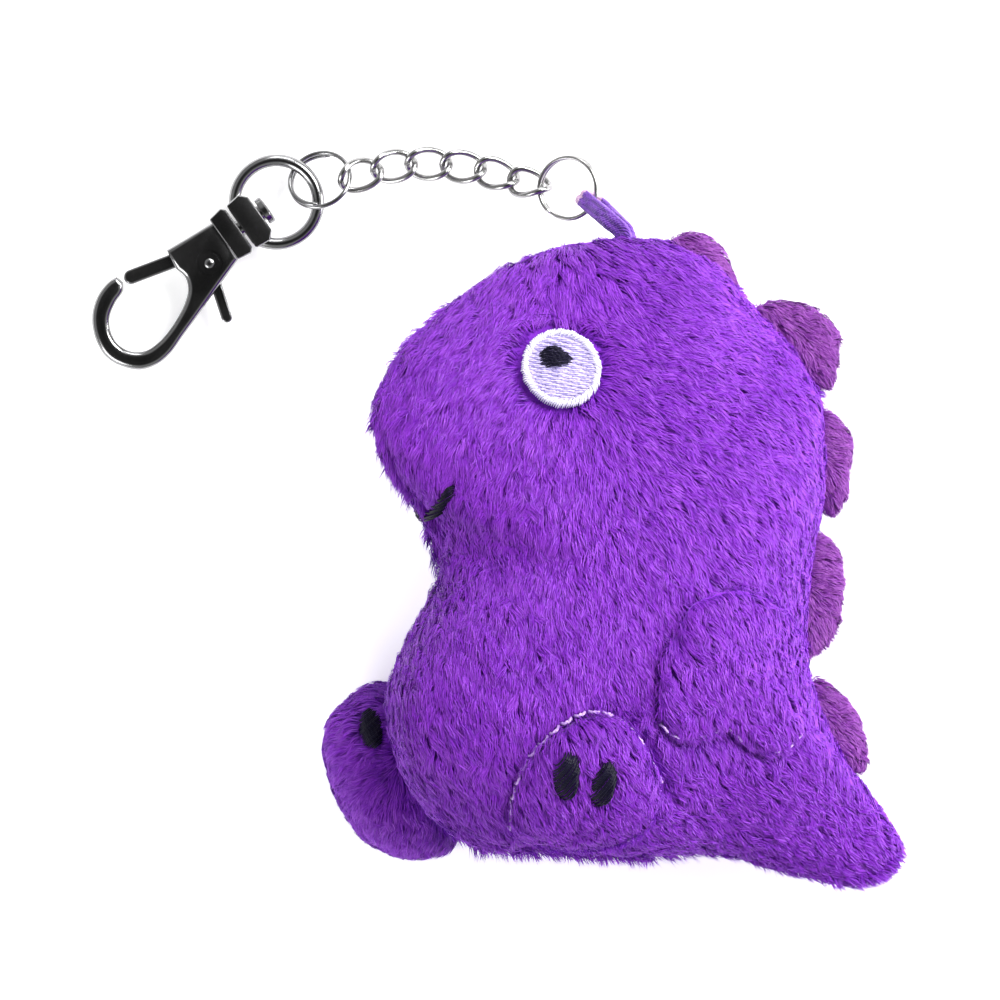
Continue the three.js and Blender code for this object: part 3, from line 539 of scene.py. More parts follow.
def triangles_of(faces: Sequence[Sequence[int]]) -> np.ndarray:
    """Fan triangles of the faces."""
    return np.array([[f[0], f[i], f[i + 1]] for f in faces for i in range(1, len(f) - 1)])


def inside(points: np.ndarray, outline: np.ndarray) -> np.ndarray:
    """Which 2-D points lie inside a closed outline."""
    x, y = points[:, 0], points[:, 1]
    hit = np.zeros(len(points), bool)
    for (x0, y0), (x1, y1) in zip(outline, np.roll(outline, -1, axis=0)):
        cross = (y0 > y) != (y1 > y)
        at = (x1 - x0) * (y - y0) / ((y1 - y0) or 1e-9) + x0
        hit ^= cross & (x < at)
    return hit


# ---------------------------------------------------------------- the toy's form


def joint(name: str) -> dict[str, Any]:
    """The frame's record of a joint."""
    return next(one for one in frame["joints"] if one["name"] == name)


def pivot(name: str) -> np.ndarray:
    """A joint's place in millimetres."""
    return np.array(joint(name)["pos_m"], float) / MM


SHIFT = pivot("clasp_swivel")[:2] - np.array([-35.343, 43.774])


@dataclass
class ToyForm:
    """The toy's padded body in its own side view: p front to back, q up, w toward its left."""

    yaw: float = math.radians(15)
    mid_height: float = 17.2
    belly: tuple[float, float] = (18 + SHIFT[0], -12 + SHIFT[1])
    rim_power: float = 2.6
    gap: float = 0.3
    gusset_half: float = 4.0
    gusset: tuple[float, float, float] = (166.0, 236.0, 16.0)
    outline: tuple[tuple[float, float], ...] = (
        (3, 51.8), (-3.5, 51.9), (-10, 51), (-18.8, 47), (-28.2, 40.8), (-34.8, 34.4), (-38.6, 25.6),
        (-38, 20.8), (-36, 15.8), (-29.8, 8.5), (-27.3, 1), (-31.4, -7.2), (-35.1, -15.8), (-34.8, -23.2),
        (-32.6, -30), (-28.8, -35.8), (-23, -40), (-10.5, -41.2), (3, -42), (14, -41.3), (22.2, -43),
        (29.2, -45), (37, -46.4), (41.6, -44.7), (43.9, -40.7), (43.2, -37), (39.6, -33), (35, -27.5),
        (31.4, -19.8), (29, -12), (29, -3), (30, 4.5), (31.6, 12.8), (31.8, 21.8), (30.9, 29), (27, 35.2),
        (20, 42.2), (14, 48.6), (9, 51.2),
    )  # fmt: skip
    padding: tuple[tuple[float, float, float, float], ...] = (
        (-30, 24, 13, 12.5), (-6, 32, 18, 17), (14, 30, 16, 15.5), (0, 4, 22, 18.5),
        (-4, -22, 20, 19), (20, -24, 12, 15), (38, -40, 13, 8.5),
    )  # fmt: skip
    nap: tuple[tuple[float, float, float], ...] = (
        (-34, 27, -112), (-28, 36, -138), (-20, 42, -128), (-13, 45, -105), (-7, 48, -72), (2, 47, -30),
        (14, 42, -12), (-13, 39, -100), (-6, 40, -48), (2, 37, -22), (8, 31, -20), (20, 24, -28),
        (2, 24, -30), (-10, 20, -85), (-20, 32, -125), (-23, 17, -103), (-31, 14, -100), (12, 12, -42),
        (25, 8, -52), (3, 2, -62), (-11, -1, -82), (-24, -8, -80), (-29, -4, -98), (20, -8, -60),
        (27, -20, -58), (11, -17, -64), (-4, -30, -62), (-17, -31, -74), (10, -36, -44), (26, -34, -44),
        (37, -42, -38), (-27, -22, -84),
    )  # fmt: skip
    partings: tuple[tuple[float, float, float], ...] = ((-12.3, 31.6, 6.2),)
    creases: tuple[tuple[tuple[tuple[float, float], ...], float, float], ...] = ()
    table: dict[float, tuple[np.ndarray, np.ndarray]] = field(default_factory=dict)

    def radius(self, angle: np.ndarray, inset: float = PILE_ROOM) -> np.ndarray:
        """Distance from the belly's middle to the outline moved in by inset."""
        if inset not in self.table:
            curve = spline(self.outline, 600, closed=True)
            along = unit(np.roll(curve, -1, axis=0) - np.roll(curve, 1, axis=0))
            moved = curve + inset * np.stack([-along[:, 1], along[:, 0]], axis=1)
            turn = np.arctan2(moved[:, 1], moved[:, 0]) % (2 * math.pi)
            order = np.argsort(turn)
            self.table[inset] = (turn[order], np.linalg.norm(moved, axis=1)[order])
        turns, reach = self.table[inset]
        return np.interp(np.asarray(angle) % (2 * math.pi), turns, reach, period=2 * math.pi)

    def half_thickness(self, p: np.ndarray, q: np.ndarray) -> np.ndarray:
        """Half thickness of the padding."""
        total, weight = 0.0, 1e-9
        for at_p, at_q, reach, half in self.padding:
            pull = np.exp(-((p - at_p) ** 2 + (q - at_q) ** 2) / reach**2)
            total, weight = total + pull * half, weight + pull
        return total / weight

    def seam_half(self, angle: np.ndarray) -> np.ndarray:
        """Half distance between the two side panels at the rim."""
        start, stop, taper = self.gusset
        turn = np.degrees(np.asarray(angle)) % 360
        into = np.clip((turn - start) / taper, 0, 1)
        out = np.clip((stop - turn) / taper, 0, 1)
        least = np.minimum(into * into * (3 - 2 * into), out * out * (3 - 2 * out))
        return self.gap / 2 + self.gusset_half * least

    def lay(self, p: np.ndarray, q: np.ndarray, w: np.ndarray) -> np.ndarray:
        """Points of the side view in the table's frame, millimetres."""
        cos, sin = math.cos(self.yaw), math.sin(self.yaw)
        x = self.belly[0] + p * cos + w * sin
        y = self.belly[1] + q + 0 * w
        return np.stack([x, y, self.mid_height - p * sin + w * cos], axis=-1)

    def direction(self, p: np.ndarray, q: np.ndarray) -> np.ndarray:
        """Which way the pile lies, as vectors in the table's frame."""
        total = np.zeros((*np.shape(p), 2))
        for at_p, at_q, degrees in self.nap:
            pull = np.exp(-((p - at_p) ** 2 + (q - at_q) ** 2) / 7.5**2) + 1e-5
            angle = math.radians(degrees)
            total += pull[..., None] * np.array([math.cos(angle), math.sin(angle)])
        flow = unit(total)
        for at_p, at_q, radius in self.partings:
            away = np.stack([p - at_p, q - at_q], axis=-1)
            near = np.exp(-np.maximum(0, np.linalg.norm(away, axis=-1) - radius) / 1.6)
            flow = unit(flow * (1 - near[..., None]) + unit(away) * near[..., None] * 1.4)
        cos, sin = math.cos(self.yaw), math.sin(self.yaw)
        return np.stack([flow[..., 0] * cos, flow[..., 1], -flow[..., 0] * sin], axis=-1)

    def relief(self, p: np.ndarray, q: np.ndarray) -> np.ndarray:
        """Small hollows that stitching pulls into the padding."""
        eye = np.hypot(p + 12.3, q - 31.6)
        hollow = -0.9 * np.exp(-((eye / 8.0) ** 4))
        mouth = -1.2 * np.exp(-(((p + 29.2) / 2.6) ** 2 + ((q - 12) / 4.5) ** 2))
        cheek = 0.8 * np.exp(-(((p + 19) / 9) ** 2 + ((q - 20) / 9) ** 2))
        chest = -0.9 * np.exp(-(((p + 22) / 4.0) ** 2 + ((q - 3) / 8) ** 2))
        return hollow + mouth + cheek + chest - self.crease(p, q)

    def crease(self, p: np.ndarray, q: np.ndarray) -> np.ndarray:
        """Depth of the furrows that the topstitching pulls into the skin."""
        shape = np.broadcast(p, q).shape
        flat = np.stack([np.broadcast_to(p, shape).ravel(), np.broadcast_to(q, shape).ravel()], axis=1)
        depth = np.zeros(len(flat))
        for path, deep, wide in self.creases:
            line = spline(path, 70)
            near = np.full(len(flat), 99.0)
            for at in line:
                near = np.minimum(near, np.hypot(flat[:, 0] - at[0], flat[:, 1] - at[1]))
            depth = np.maximum(depth, deep * np.exp(-((near / wide) ** 2)))
        return depth.reshape(shape)

    def skin(
        self, side: int, p: np.ndarray, q: np.ndarray, lift: Any = 0.0, inset: float = PILE_ROOM
    ) -> np.ndarray:
        """Points of the skin over places of the side view.

        Args:
            side: LEFT or RIGHT.
            p, q: places.
            lift: height over the backing, along w.
            inset: how far the skin is moved in from the body's size.

        Returns:
            Points in the table's frame.
        """
        angle = np.arctan2(q, p)
        ring = np.clip(np.hypot(p, q) / self.radius(angle, inset), 0, 1)
        seam = self.seam_half(angle)
        rise = np.sqrt(np.maximum(0, 1 - ring**self.rim_power))
        w = seam + (self.half_thickness(p, q) - inset - seam + self.relief(p, q)) * rise + lift
        return self.lay(p, q, side * w)

    def normal(self, side: int, p: np.ndarray, q: np.ndarray) -> np.ndarray:
        """Outward normals of the skin over places of the side view."""
        step = 0.3
        along_p = self.skin(side, p + step, q) - self.skin(side, p - step, q)
        along_q = self.skin(side, p, q + step) - self.skin(side, p, q - step)
        return unit(np.cross(along_p, along_q)) * side


LEG_PATH = (
    (-19, -36.8), (-19.5, -33), (-19.1, -29.9), (-17.8, -26.4), (-15.6, -23.7), (-13.1, -21.3), (-9.9, -19.6),
    (-6.8, -19.6), (-4, -20.9), (-1.7, -22.9), (0.1, -25.5), (1.7, -28.2), (3.3, -30.6),
)  # fmt: skip
WING_PATH = (
    (5.9, -3), (3.7, -7.5), (1.7, -10.5), (1.1, -15), (1.1, -18.8), (2.7, -22.2), (5.7, -23.4), (8.9, -22.9),
    (13, -22), (15.2, -24), (17.5, -25.4), (20.5, -25.5), (23.1, -24.4), (24.7, -22.5),
)  # fmt: skip
HIP_FOLD = ((4.7, -32.5), (6.8, -33.8), (9.6, -34.8))
FORM = ToyForm(creases=((LEG_PATH, 1.3, 1.3), (WING_PATH, 0.8, 1.1), (HIP_FOLD, 0.8, 1.0)))

WING = (
    (6.6, -3.6), (4.4, -7.8), (2.4, -10.8), (1.7, -15.3), (1.7, -18.6), (3.3, -21.6), (5.8, -22.6),
    (8.8, -22.2), (12.7, -21.1), (15.4, -23.2), (17.6, -24.6), (20.5, -24.8), (22.7, -23.7), (24.4, -21.3),
    (26.3, -16.5),
    (25.5, -10.5), (21.3, -4.8), (14.1, -1.5),
)  # fmt: skip
FOOT_PAD = (
    (-18.4, -36.4), (-18.8, -33), (-18.3, -30), (-17.2, -26.9), (-15.2, -24.4), (-12.8, -22.1), (-9.8, -20.7),
    (-6.8, -20.6), (-4.3, -21.7), (-2.2, -23.8), (-0.4, -26.5), (1.6, -30.6), (1.2, -34.8), (-1.5, -37.6),
    (-7, -38.8), (-13.5, -38.4),
)  # fmt: skip
RIGHT_FOOT = (
    (-36.8, -15.6), (-40.5, -17.6), (-43.4, -20.6), (-44.4, -24), (-43.9, -28.5), (-42, -33.5), (-39, -38.4),
    (-34.5, -41.2), (-29.5, -42), (-25, -40), (-24.5, -32), (-28, -22), (-32.5, -16.5),
)  # fmt: skip
FINS = (
    ((4.8, 47), (7.2, 51.4), (10.5, 52.6), (13.8, 51.6), (16.6, 48.4), (18, 43.2), (12, 43)),
    ((20, 41.4), (23.7, 42.4), (27.6, 42), (31.2, 40.3), (33.8, 37.5), (34, 34.8), (32.4, 28.4), (26, 33)),
    ((30.6, 26.4), (33.8, 24.6), (35.8, 21.3), (35.4, 16.5), (35.2, 12.8), (32.6, 9.4), (28, 17)),
    ((28.6, 8.2), (33, 6.4), (34.4, 2), (34.2, -4.5), (33.2, -8.5), (28.4, -12), (26, -3)),
    ((29, -14.4), (33.6, -16.4), (36.4, -19.6), (38, -24), (38.2, -28.6), (35, -29), (28, -21)),
)
EYE_AT, EYE_RADIUS = (-12.3, 31.6), 5.85
EYE_MARGIN = 0.5  # bare backing round the eye
PUPIL = (
    (-15.4, 33.3), (-14.9, 34.2), (-13.8, 34.7), (-12.5, 34.6), (-11.6, 34), (-10.8, 33.1), (-11, 32.4),
    (-12.1, 31.9), (-13.6, 31.6), (-14.9, 31.8),
)  # fmt: skip
MOUTH = ((-28.6, 14.1), (-28, 13.7), (-28.4, 12), (-28.8, 10.2), (-29.4, 9.6), (-29.9, 10.1), (-29.8, 11.7))
TOES = ((-12.8, -27.9, 1.95, 3.1, -0.1), (-7.1, -28.9, 1.85, 3.2, -0.3))
RIGHT_TOES = ((-37.3, -22.3, 1.7, 3.0, 0.1),)


def oval(
    p: float, q: float, half_p: float, half_q: float, lean: float = 0.0, count: int = 40
) -> np.ndarray:
    """Outline of a leaning oval."""
    turn = np.linspace(0, 2 * math.pi, count, endpoint=False)
    a, b = half_p * np.cos(turn), half_q * np.sin(turn)
    return np.stack(
        [p + a * math.cos(lean) - b * math.sin(lean), q + a * math.sin(lean) + b * math.cos(lean)], axis=1
    )


@dataclass
class Pelt:
    """Grows short tapered strands of pile, gathered in tufts, over a triangle mesh."""

    length: float = 3.3
    width: float = 0.155
    stand: float = 0.85
    density: float = 26.0
    tuft: float = 1.0
    gather: float = 0.3
    stray: float = 0.26
    # colour levels along each strand: painted shade at the root, painted highlight at the tip
    root_to_tip_painted_light: tuple[float, float, float] = (0.15, 0.52, 0.85)
    seed: int = 7

    def grow(
        self,
        name: str,
        verts: np.ndarray,
        tris: np.ndarray,
        flow: np.ndarray,
        keep: np.ndarray,
        finish: Finish,
        floor: float = TABLE_CLEAR,
    ) -> bpy.types.Object:
        """Grows the strands.

        Args:
            name: the piece's name.
            verts, tris: the mesh that they grow on, millimetres.
            flow: the way they lie, at each vertex.
            keep: share of the density, at each vertex.
            finish: their finish.
            floor: no strand reaches below this height.

        Returns:
            One object of narrow three-faced strands.
        """
        rng = np.random.default_rng(self.seed)
        normals = corners_normals(verts, tris)
        a, b, c = (verts[tris[:, k]] for k in range(3))
        areas = np.linalg.norm(np.cross(b - a, c - a), axis=1) / 2
        wanted = areas * keep[tris].mean(axis=1)
        running = np.cumsum(wanted)

        def scatter(count: int) -> tuple[np.ndarray, np.ndarray, np.ndarray]:
            """Places, normals and lay at count random spots of the mesh."""
            pick = np.searchsorted(running, rng.random(count) * running[-1])
            pick = np.minimum(pick, len(tris) - 1)
            u, v = rng.random(count), rng.random(count)
            over = u + v > 1
            u[over], v[over] = 1 - u[over], 1 - v[over]
            weights = np.stack([1 - u - v, u, v], axis=1)[:, :, None]
            return tuple((values[tris[pick]] * weights).sum(axis=1) for values in (verts, normals, flow))

        count = int(running[-1] * self.density)
        tufts = max(int(running[-1] / self.tuft**2), 4)
        seat, normal, lay = scatter(count)
        hub, hub_normal, hub_lay = scatter(tufts)
        tree = KDTree(tufts)
        for i, at in enumerate(hub):
            tree.insert(at, i)
        tree.balance()
        mine = np.array([tree.find(at)[1] for at in seat])
        tuft_turn = rng.normal(0, self.stray, tufts)
        tuft_stand = rng.uniform(0.6, 1.3, tufts)
        tuft_tone = rng.normal(0, 0.06, tufts)

        def tangent(lay_on: np.ndarray, over: np.ndarray, turn: np.ndarray) -> np.ndarray:
            """The lay laid flat on the surface and turned about its normal."""
            flat = unit(lay_on - over * (lay_on * over).sum(axis=1, keepdims=True))
            across = np.cross(over, flat)
            return flat * np.cos(turn)[:, None] + across * np.sin(turn)[:, None]

        normal, hub_normal = unit(normal), unit(hub_normal)
        along = tangent(lay, normal, tuft_turn[mine] + rng.normal(0, 0.16, count))
        hub_along = tangent(hub_lay, hub_normal, tuft_turn)
        reach = self.length * rng.uniform(0.72, 1.12, count)[:, None]
        rise = self.stand * (tuft_stand[mine] * rng.uniform(0.75, 1.2, count))[:, None]
        meeting = hub + hub_along * self.length * 0.95 + hub_normal * self.stand * tuft_stand[:, None] * 0.7
        root = seat - normal * 0.15
        middle = seat + along * reach * 0.42 + normal * rise
        tip = seat + along * reach + normal * rise * 0.7
        pull = self.gather * rng.uniform(0.6, 1.2, count)[:, None]
        tip += (meeting[mine] - tip) * pull
        middle += (meeting[mine] - seat - along * self.length) * pull * 0.25
        roll = rng.normal(0, 0.45, count)[:, None]
        across = np.cross(normal, along) * np.cos(roll) + normal * np.sin(roll)
        half = self.width / 2 * rng.uniform(0.7, 1.25, count)[:, None]
        points = np.stack(
            [
                root - across * half,
                root + across * half,
                middle + across * half * 0.9,
                middle - across * half * 0.9,
                tip,
            ],
            axis=1,
        )
        points[:, :, 2] = np.maximum(points[:, :, 2], floor)
        # Each strand's colour level is random tuft and strand tone, plus painted shade at the root and a
        # painted highlight at the tip.
        tone = tuft_tone[mine] + rng.normal(0, 0.07, count)
        low, mid, high = self.root_to_tip_painted_light
        shade = np.stack([tone + low, tone + low, tone + mid, tone + mid, tone + high], axis=1)
        return self.strands(name, points, shade, finish)

    def strands(self, name: str, points: np.ndarray, shade: np.ndarray, finish: Finish) -> bpy.types.Object:
        """Makes the mesh of the strands, each with a patch of its own for baked colour."""
        count = len(points)
        mesh = bpy.data.meshes.new(name)
        mesh.vertices.add(count * 5)
        mesh.vertices.foreach_set("co", (points * MM).astype(np.float32).ravel())
        base = np.arange(count)[:, None] * 5
        loops = np.concatenate([base + np.array([0, 1, 2, 3]), base + np.array([3, 2, 4])], axis=1)
        mesh.loops.add(count * 7)
        mesh.loops.foreach_set("vertex_index", loops.astype(np.int32).ravel())
        mesh.polygons.add(count * 2)
        starts = (np.arange(count)[:, None] * 7 + np.array([0, 4])).astype(np.int32)
        mesh.polygons.foreach_set("loop_start", starts.ravel())
        mesh.update(calc_edges=True)
        mesh.polygons.foreach_set("use_smooth", [True] * (count * 2))
        stored = mesh.attributes.new("shade", "FLOAT", "POINT")
        stored.data.foreach_set("value", shade.astype(np.float32).ravel())
        cells = math.ceil(math.sqrt(count))
        corner = np.array(
            [[0.2, 0.1], [0.8, 0.1], [0.8, 0.5], [0.2, 0.5], [0.2, 0.5], [0.8, 0.5], [0.5, 0.95]]
        )
        origin = np.stack([np.arange(count) % cells, np.arange(count) // cells], axis=1)[:, None, :]
        places = (origin + corner[None]) / cells
        mesh.uv_layers.new(name="OFBake").data.foreach_set("uv", places.astype(np.float32).ravel())
        mesh.materials.append(finish.material)
        piece = bpy.data.objects.new(name, mesh)
        bpy.context.collection.objects.link(piece)
        return piece


# ---------------------------------------------------------------- padded pieces


@dataclass
class PaddedBody:
    """The stuffed body: two side panels, the belly gusset between them, and their pile."""

    angles: int = 220
    rings: int = 46
    pile: Pelt = field(default_factory=Pelt)
    puff_frames: int = 20
    puff_cap: float = 1.1
    pressure: float = 4.0
    right_share: float = 0.6

    def grid(self) -> tuple[np.ndarray, np.ndarray, np.ndarray]:
        """Rows of points from the middle of the left panel over the rim to the middle of the right one.

        Returns:
            Points (rows, angles, 3), and p and q of each.
        """
        turn = np.linspace(0, 2 * math.pi, self.angles, endpoint=False)
        steps = np.linspace(0.03, math.pi / 2, self.rings)
        rows, ps, qs = [], [], []
        for side, order in ((LEFT, steps), (RIGHT, steps[::-1])):
            if side == RIGHT:
                rim = FORM.radius(turn)
                for share in (0.5, 0.0, -0.5):
                    reach = rim + 0.35 * (1 - abs(share)) * (FORM.seam_half(turn) > 1) - 0.25
                    p, q = reach * np.cos(turn), reach * np.sin(turn)
                    rows.append(FORM.lay(p, q, share * 2 * FORM.seam_half(turn) * 0.9))
                    ps.append(p), qs.append(q)
            for step in order:
                ring = math.sin(step) ** (2 / FORM.rim_power)
                pinch = 0.55 * math.exp(-(((math.pi / 2 - step) / 0.07) ** 2))
                reach = FORM.radius(turn) * ring - pinch
                p, q = reach * np.cos(turn), reach * np.sin(turn)
                seam = FORM.seam_half(turn)
                depth = FORM.half_thickness(p, q) - PILE_ROOM - seam + FORM.relief(p, q)
                rows.append(FORM.lay(p, q, side * (seam + depth * math.cos(step))))
                ps.append(p), qs.append(q)
        points = np.stack(rows)
        points[..., 2] = np.maximum(points[..., 2], SKIN_CLEAR)
        return points, np.stack(ps), np.stack(qs)

    def build(self) -> None:
        """Builds the body, puffs it with a cloth simulation, and grows its pile."""
        points, p, q = self.grid()
        points = self.puffed(points)
        rows = len(points)
        verts = points.reshape(-1, 3)
        faces = grid_faces(rows, self.angles)
        verts = np.vstack([verts, points[0].mean(axis=0), points[-1].mean(axis=0)])
        hub, last = len(verts) - 2, (rows - 1) * self.angles
        for k in range(self.angles):
            after = (k + 1) % self.angles
            faces.append([hub, after, k])
            faces.append([hub + 1, last + k, last + after])
        tris = triangles_of(faces)
        if (corners_normals(verts, tris)[hub] @ (FORM.lay(0.0, 0.0, 1.0) - FORM.lay(0.0, 0.0, 0.0))) < 0:
            faces = [f[::-1] for f in faces]
            tris = tris[:, ::-1]
        body = mesh_piece("plush_body", verts, faces, Finish.BACKING)
        fit(body, TOY, "plush_pile", "side_panel_left", "side_panel_right", "belly_gusset")
        flat_p = np.append(p.ravel(), [0, 0])
        flat_q = np.append(q.ravel(), [0, 0])
        row_of = np.append(np.repeat(np.arange(rows), self.angles), [0, rows - 1])
        left = row_of <= self.rings
        flow = FORM.direction(flat_p, flat_q)
        places = np.stack([flat_p, flat_q], axis=1)
        keep = np.ones(len(verts))
        keep[np.hypot(flat_p - EYE_AT[0], flat_q - EYE_AT[1]) < EYE_RADIUS + EYE_MARGIN] = 0
        keep *= 1 - 0.9 * np.clip(FORM.crease(flat_p, flat_q) - 0.5, 0, 0.5) / 0.5
        keep[inside(places, np.array(MOUTH))] = 0
        for outline, shrink in ((WING, 0.9), (FOOT_PAD, 0.9)):
            ring = spline(outline, 60, closed=True)
            smaller = ring.mean(axis=0) + (ring - ring.mean(axis=0)) * shrink
            hidden = inside(places, smaller) & (left if outline is FOOT_PAD else True)
            keep[hidden] = 0
        below = verts[:, 2] < 0.6
        keep[below] *= 0.35
        zones = {
            "pile_left_head": left & (flat_q > 16),
            "pile_left_belly": left & (flat_q <= 16) & (flat_q > -16),
            "pile_left_tail": left & (flat_q <= -16),
            "pile_right_upper": ~left & (flat_q > 0),
            "pile_right_lower": ~left & (flat_q <= 0),
        }
        for i, (name, zone) in enumerate(zones.items()):
            pelt = Pelt(**{**self.pile.__dict__, "seed": 11 + i})
            if name.startswith("pile_right"):
                pelt.density *= self.right_share
            share = keep * zone
            inner = zone[tris].any(axis=1)
            piece = pelt.grow(name, verts, tris[inner], flow, share, Finish.PILE)
            fit(piece, TOY, "plush_pile")

    def puffed(self, points: np.ndarray) -> np.ndarray:
        """Inflates a coarse copy of the body with cloth pressure and takes over how its skin moved.

        Args:
            points: rows of points before it.

        Returns:
            The rows after it.
        """
        scale = 10.0
        skip_a, skip_r = 4, 3
        chosen = sorted(set(list(range(0, len(points), skip_r)) + [len(points) - 1]))
        coarse = points[chosen][:, ::skip_a]
        rows, across = coarse.shape[:2]
        faces = grid_faces(rows, across)
        faces.append(list(range(across))[::-1])
        faces.append([(rows - 1) * across + k for k in range(across)])
        flat = coarse.reshape(-1, 3)
        mesh = bpy.data.meshes.new("puff")
        mesh.from_pydata((flat * MM * scale).tolist(), [], faces)
        cloth = bpy.data.objects.new("puff", mesh)
        bpy.context.collection.objects.link(cloth)
        pins = cloth.vertex_groups.new(name="sewn")
        sewn = [r for r in range(rows) if abs(chosen[r] - self.rings - 1) <= 2]
        held = [r * across + k for r in sewn for k in range(across)]
        held += [i for i, at in enumerate(flat) if at[2] < 0.5]
        pins.add(held, 1.0, "REPLACE")
        modifier = cloth.modifiers.new("cloth", "CLOTH")
        settings = modifier.settings
        settings.use_pressure = True
        settings.uniform_pressure_force = self.pressure
        settings.effector_weights.gravity = 0.0
        settings.vertex_group_mass = "sewn"
        settings.quality = 5
        modifier.point_cache.frame_start, modifier.point_cache.frame_end = 1, self.puff_frames
        scene = bpy.context.scene
        for step in range(1, self.puff_frames + 1):
            scene.frame_set(step)
        result = cloth.evaluated_get(bpy.context.evaluated_depsgraph_get()).to_mesh()
        moved = np.empty(len(flat) * 3, np.float32)
        result.vertices.foreach_get("co", moved)
        shift = (moved.reshape(-1, 3) / (MM * scale) - flat).reshape(rows, across, 3)
        scene.frame_set(1)
        bpy.data.objects.remove(cloth)
        length = np.linalg.norm(shift, axis=-1, keepdims=True)
        log.info("puff: skin moved %.2f mm at most before the cap", float(length.max()))
        shift *= np.minimum(1, self.puff_cap / np.maximum(length, 1e-9))
        at_row = np.interp(np.arange(len(points)), chosen, np.arange(rows))
        low = np.minimum(at_row.astype(int), rows - 2)
        part = (at_row - low)[:, None, None]
        by_row = shift[low] * (1 - part) + shift[low + 1] * part
        column = np.arange(points.shape[1]) / skip_a
        first = column.astype(int) % across
        part = (column - column.astype(int))[None, :, None]
        spread = by_row[:, first] * (1 - part) + by_row[:, (first + 1) % across] * part
        out = points + spread
        out[..., 2] = np.maximum(out[..., 2], SKIN_CLEAR)
        return out


@dataclass
class PaddedPatch:
    """A padded shape sewn on the body, such as a foot or a wing, with its own pile."""

    name: str
    side: int
    outline: tuple[tuple[float, float], ...]
    lift: Callable[[np.ndarray, np.ndarray, np.ndarray], np.ndarray]
    node: str
    around: int = 96
    rings: int = 16
    seed: int = 31
    avoid: tuple[np.ndarray, ...] = ()

    def build(self) -> None:
        """Builds the backing and grows the pile."""
        rim = spline(self.outline, self.around, closed=True)
        middle = rim.mean(axis=0)
        shares = np.sin(np.linspace(0.06, math.pi / 2, self.rings))
        p = middle[0] + (rim[:, 0] - middle[0]) * shares[:, None]
        q = middle[1] + (rim[:, 1] - middle[1]) * shares[:, None]
        rise = self.lift(shares[:, None], p, q)[..., None]
        raised = FORM.skin(self.side, p, q) + FORM.normal(self.side, p, q) * rise
        under = FORM.skin(self.side, p, q) - FORM.normal(self.side, p, q) * 0.3
        top, bottom = raised, under[::-1][1:]
        rows = np.concatenate([top, bottom])
        rows[..., 2] = np.maximum(rows[..., 2], PATCH_CLEAR[self.side])
        verts = rows.reshape(-1, 3)
        faces = grid_faces(len(rows), self.around)
        verts = np.vstack([verts, rows[0].mean(axis=0), rows[-1].mean(axis=0)])
        hub, last = len(verts) - 2, (len(rows) - 1) * self.around
        for k in range(self.around):
            after = (k + 1) % self.around
            faces.append([hub, after, k])
            faces.append([hub + 1, last + k, last + after])
        tris = triangles_of(faces)
        if (corners_normals(verts, tris)[hub] @ FORM.normal(self.side, *(middle[:, None]))[0]) < 0:
            faces = [f[::-1] for f in faces]
            tris = tris[:, ::-1]
        pad = mesh_piece(self.name, verts, faces, Finish.BACKING)
        fit(pad, TOY, "plush_pile", self.node)
        flat_p = np.concatenate([p.ravel(), p[::-1][1:].ravel(), [middle[0]] * 2])
        flat_q = np.concatenate([q.ravel(), q[::-1][1:].ravel(), [middle[1]] * 2])
        keep = (np.arange(len(verts)) < len(top) * self.around).astype(float)
        keep[hub] = 1
        for shape in self.avoid:
            keep[inside(np.stack([flat_p, flat_q], axis=1), shape)] = 0
        pelt = Pelt(seed=self.seed, length=3.0, stand=0.85)
        piece = pelt.grow(
            self.name + "_pile", verts, tris, FORM.direction(flat_p, flat_q), keep, Finish.PILE
        )
        fit(piece, TOY, "plush_pile")


def lobe(
    rim_pts: np.ndarray,
    middle: np.ndarray,
    shares: np.ndarray,
    place: Callable[[np.ndarray, np.ndarray, np.ndarray], np.ndarray],
    rise: Callable[[np.ndarray], np.ndarray],
) -> tuple[np.ndarray, list[list[int]], np.ndarray]:
    """A closed padded lobe between an upper and a lower face that meet at a rim.

    Args:
        rim_pts: the rim in the plane.
        middle: its middle in the plane.
        shares: steps from the middle to the rim.
        place: turns plane points and a height into points of the table's frame.
        rise: height at each share.

    Returns:
        Points, faces, and each point's place in the plane.
    """
    rows, flat = [], []
    for sign, order in ((1, shares), (-1, shares[::-1][1:])):
        for share in order:
            at = middle + (rim_pts - middle) * share
            rows.append(place(at[:, 0], at[:, 1], sign * rise(share) + 0 * at[:, 0]))
            flat.append(at)
    verts, across = np.vstack(rows), len(rim_pts)
    faces = grid_faces(len(rows), across)
    last = (len(rows) - 1) * across
    faces.append(list(range(across))[::-1])
    faces.append([last + k for k in range(across)])
    tris = triangles_of(faces)
    a, b, c = (verts[tris[:, k]] for k in range(3))
    if (a * np.cross(b, c)).sum() < 0:
        faces = [f[::-1] for f in faces]
    return verts, faces, np.vstack(flat)


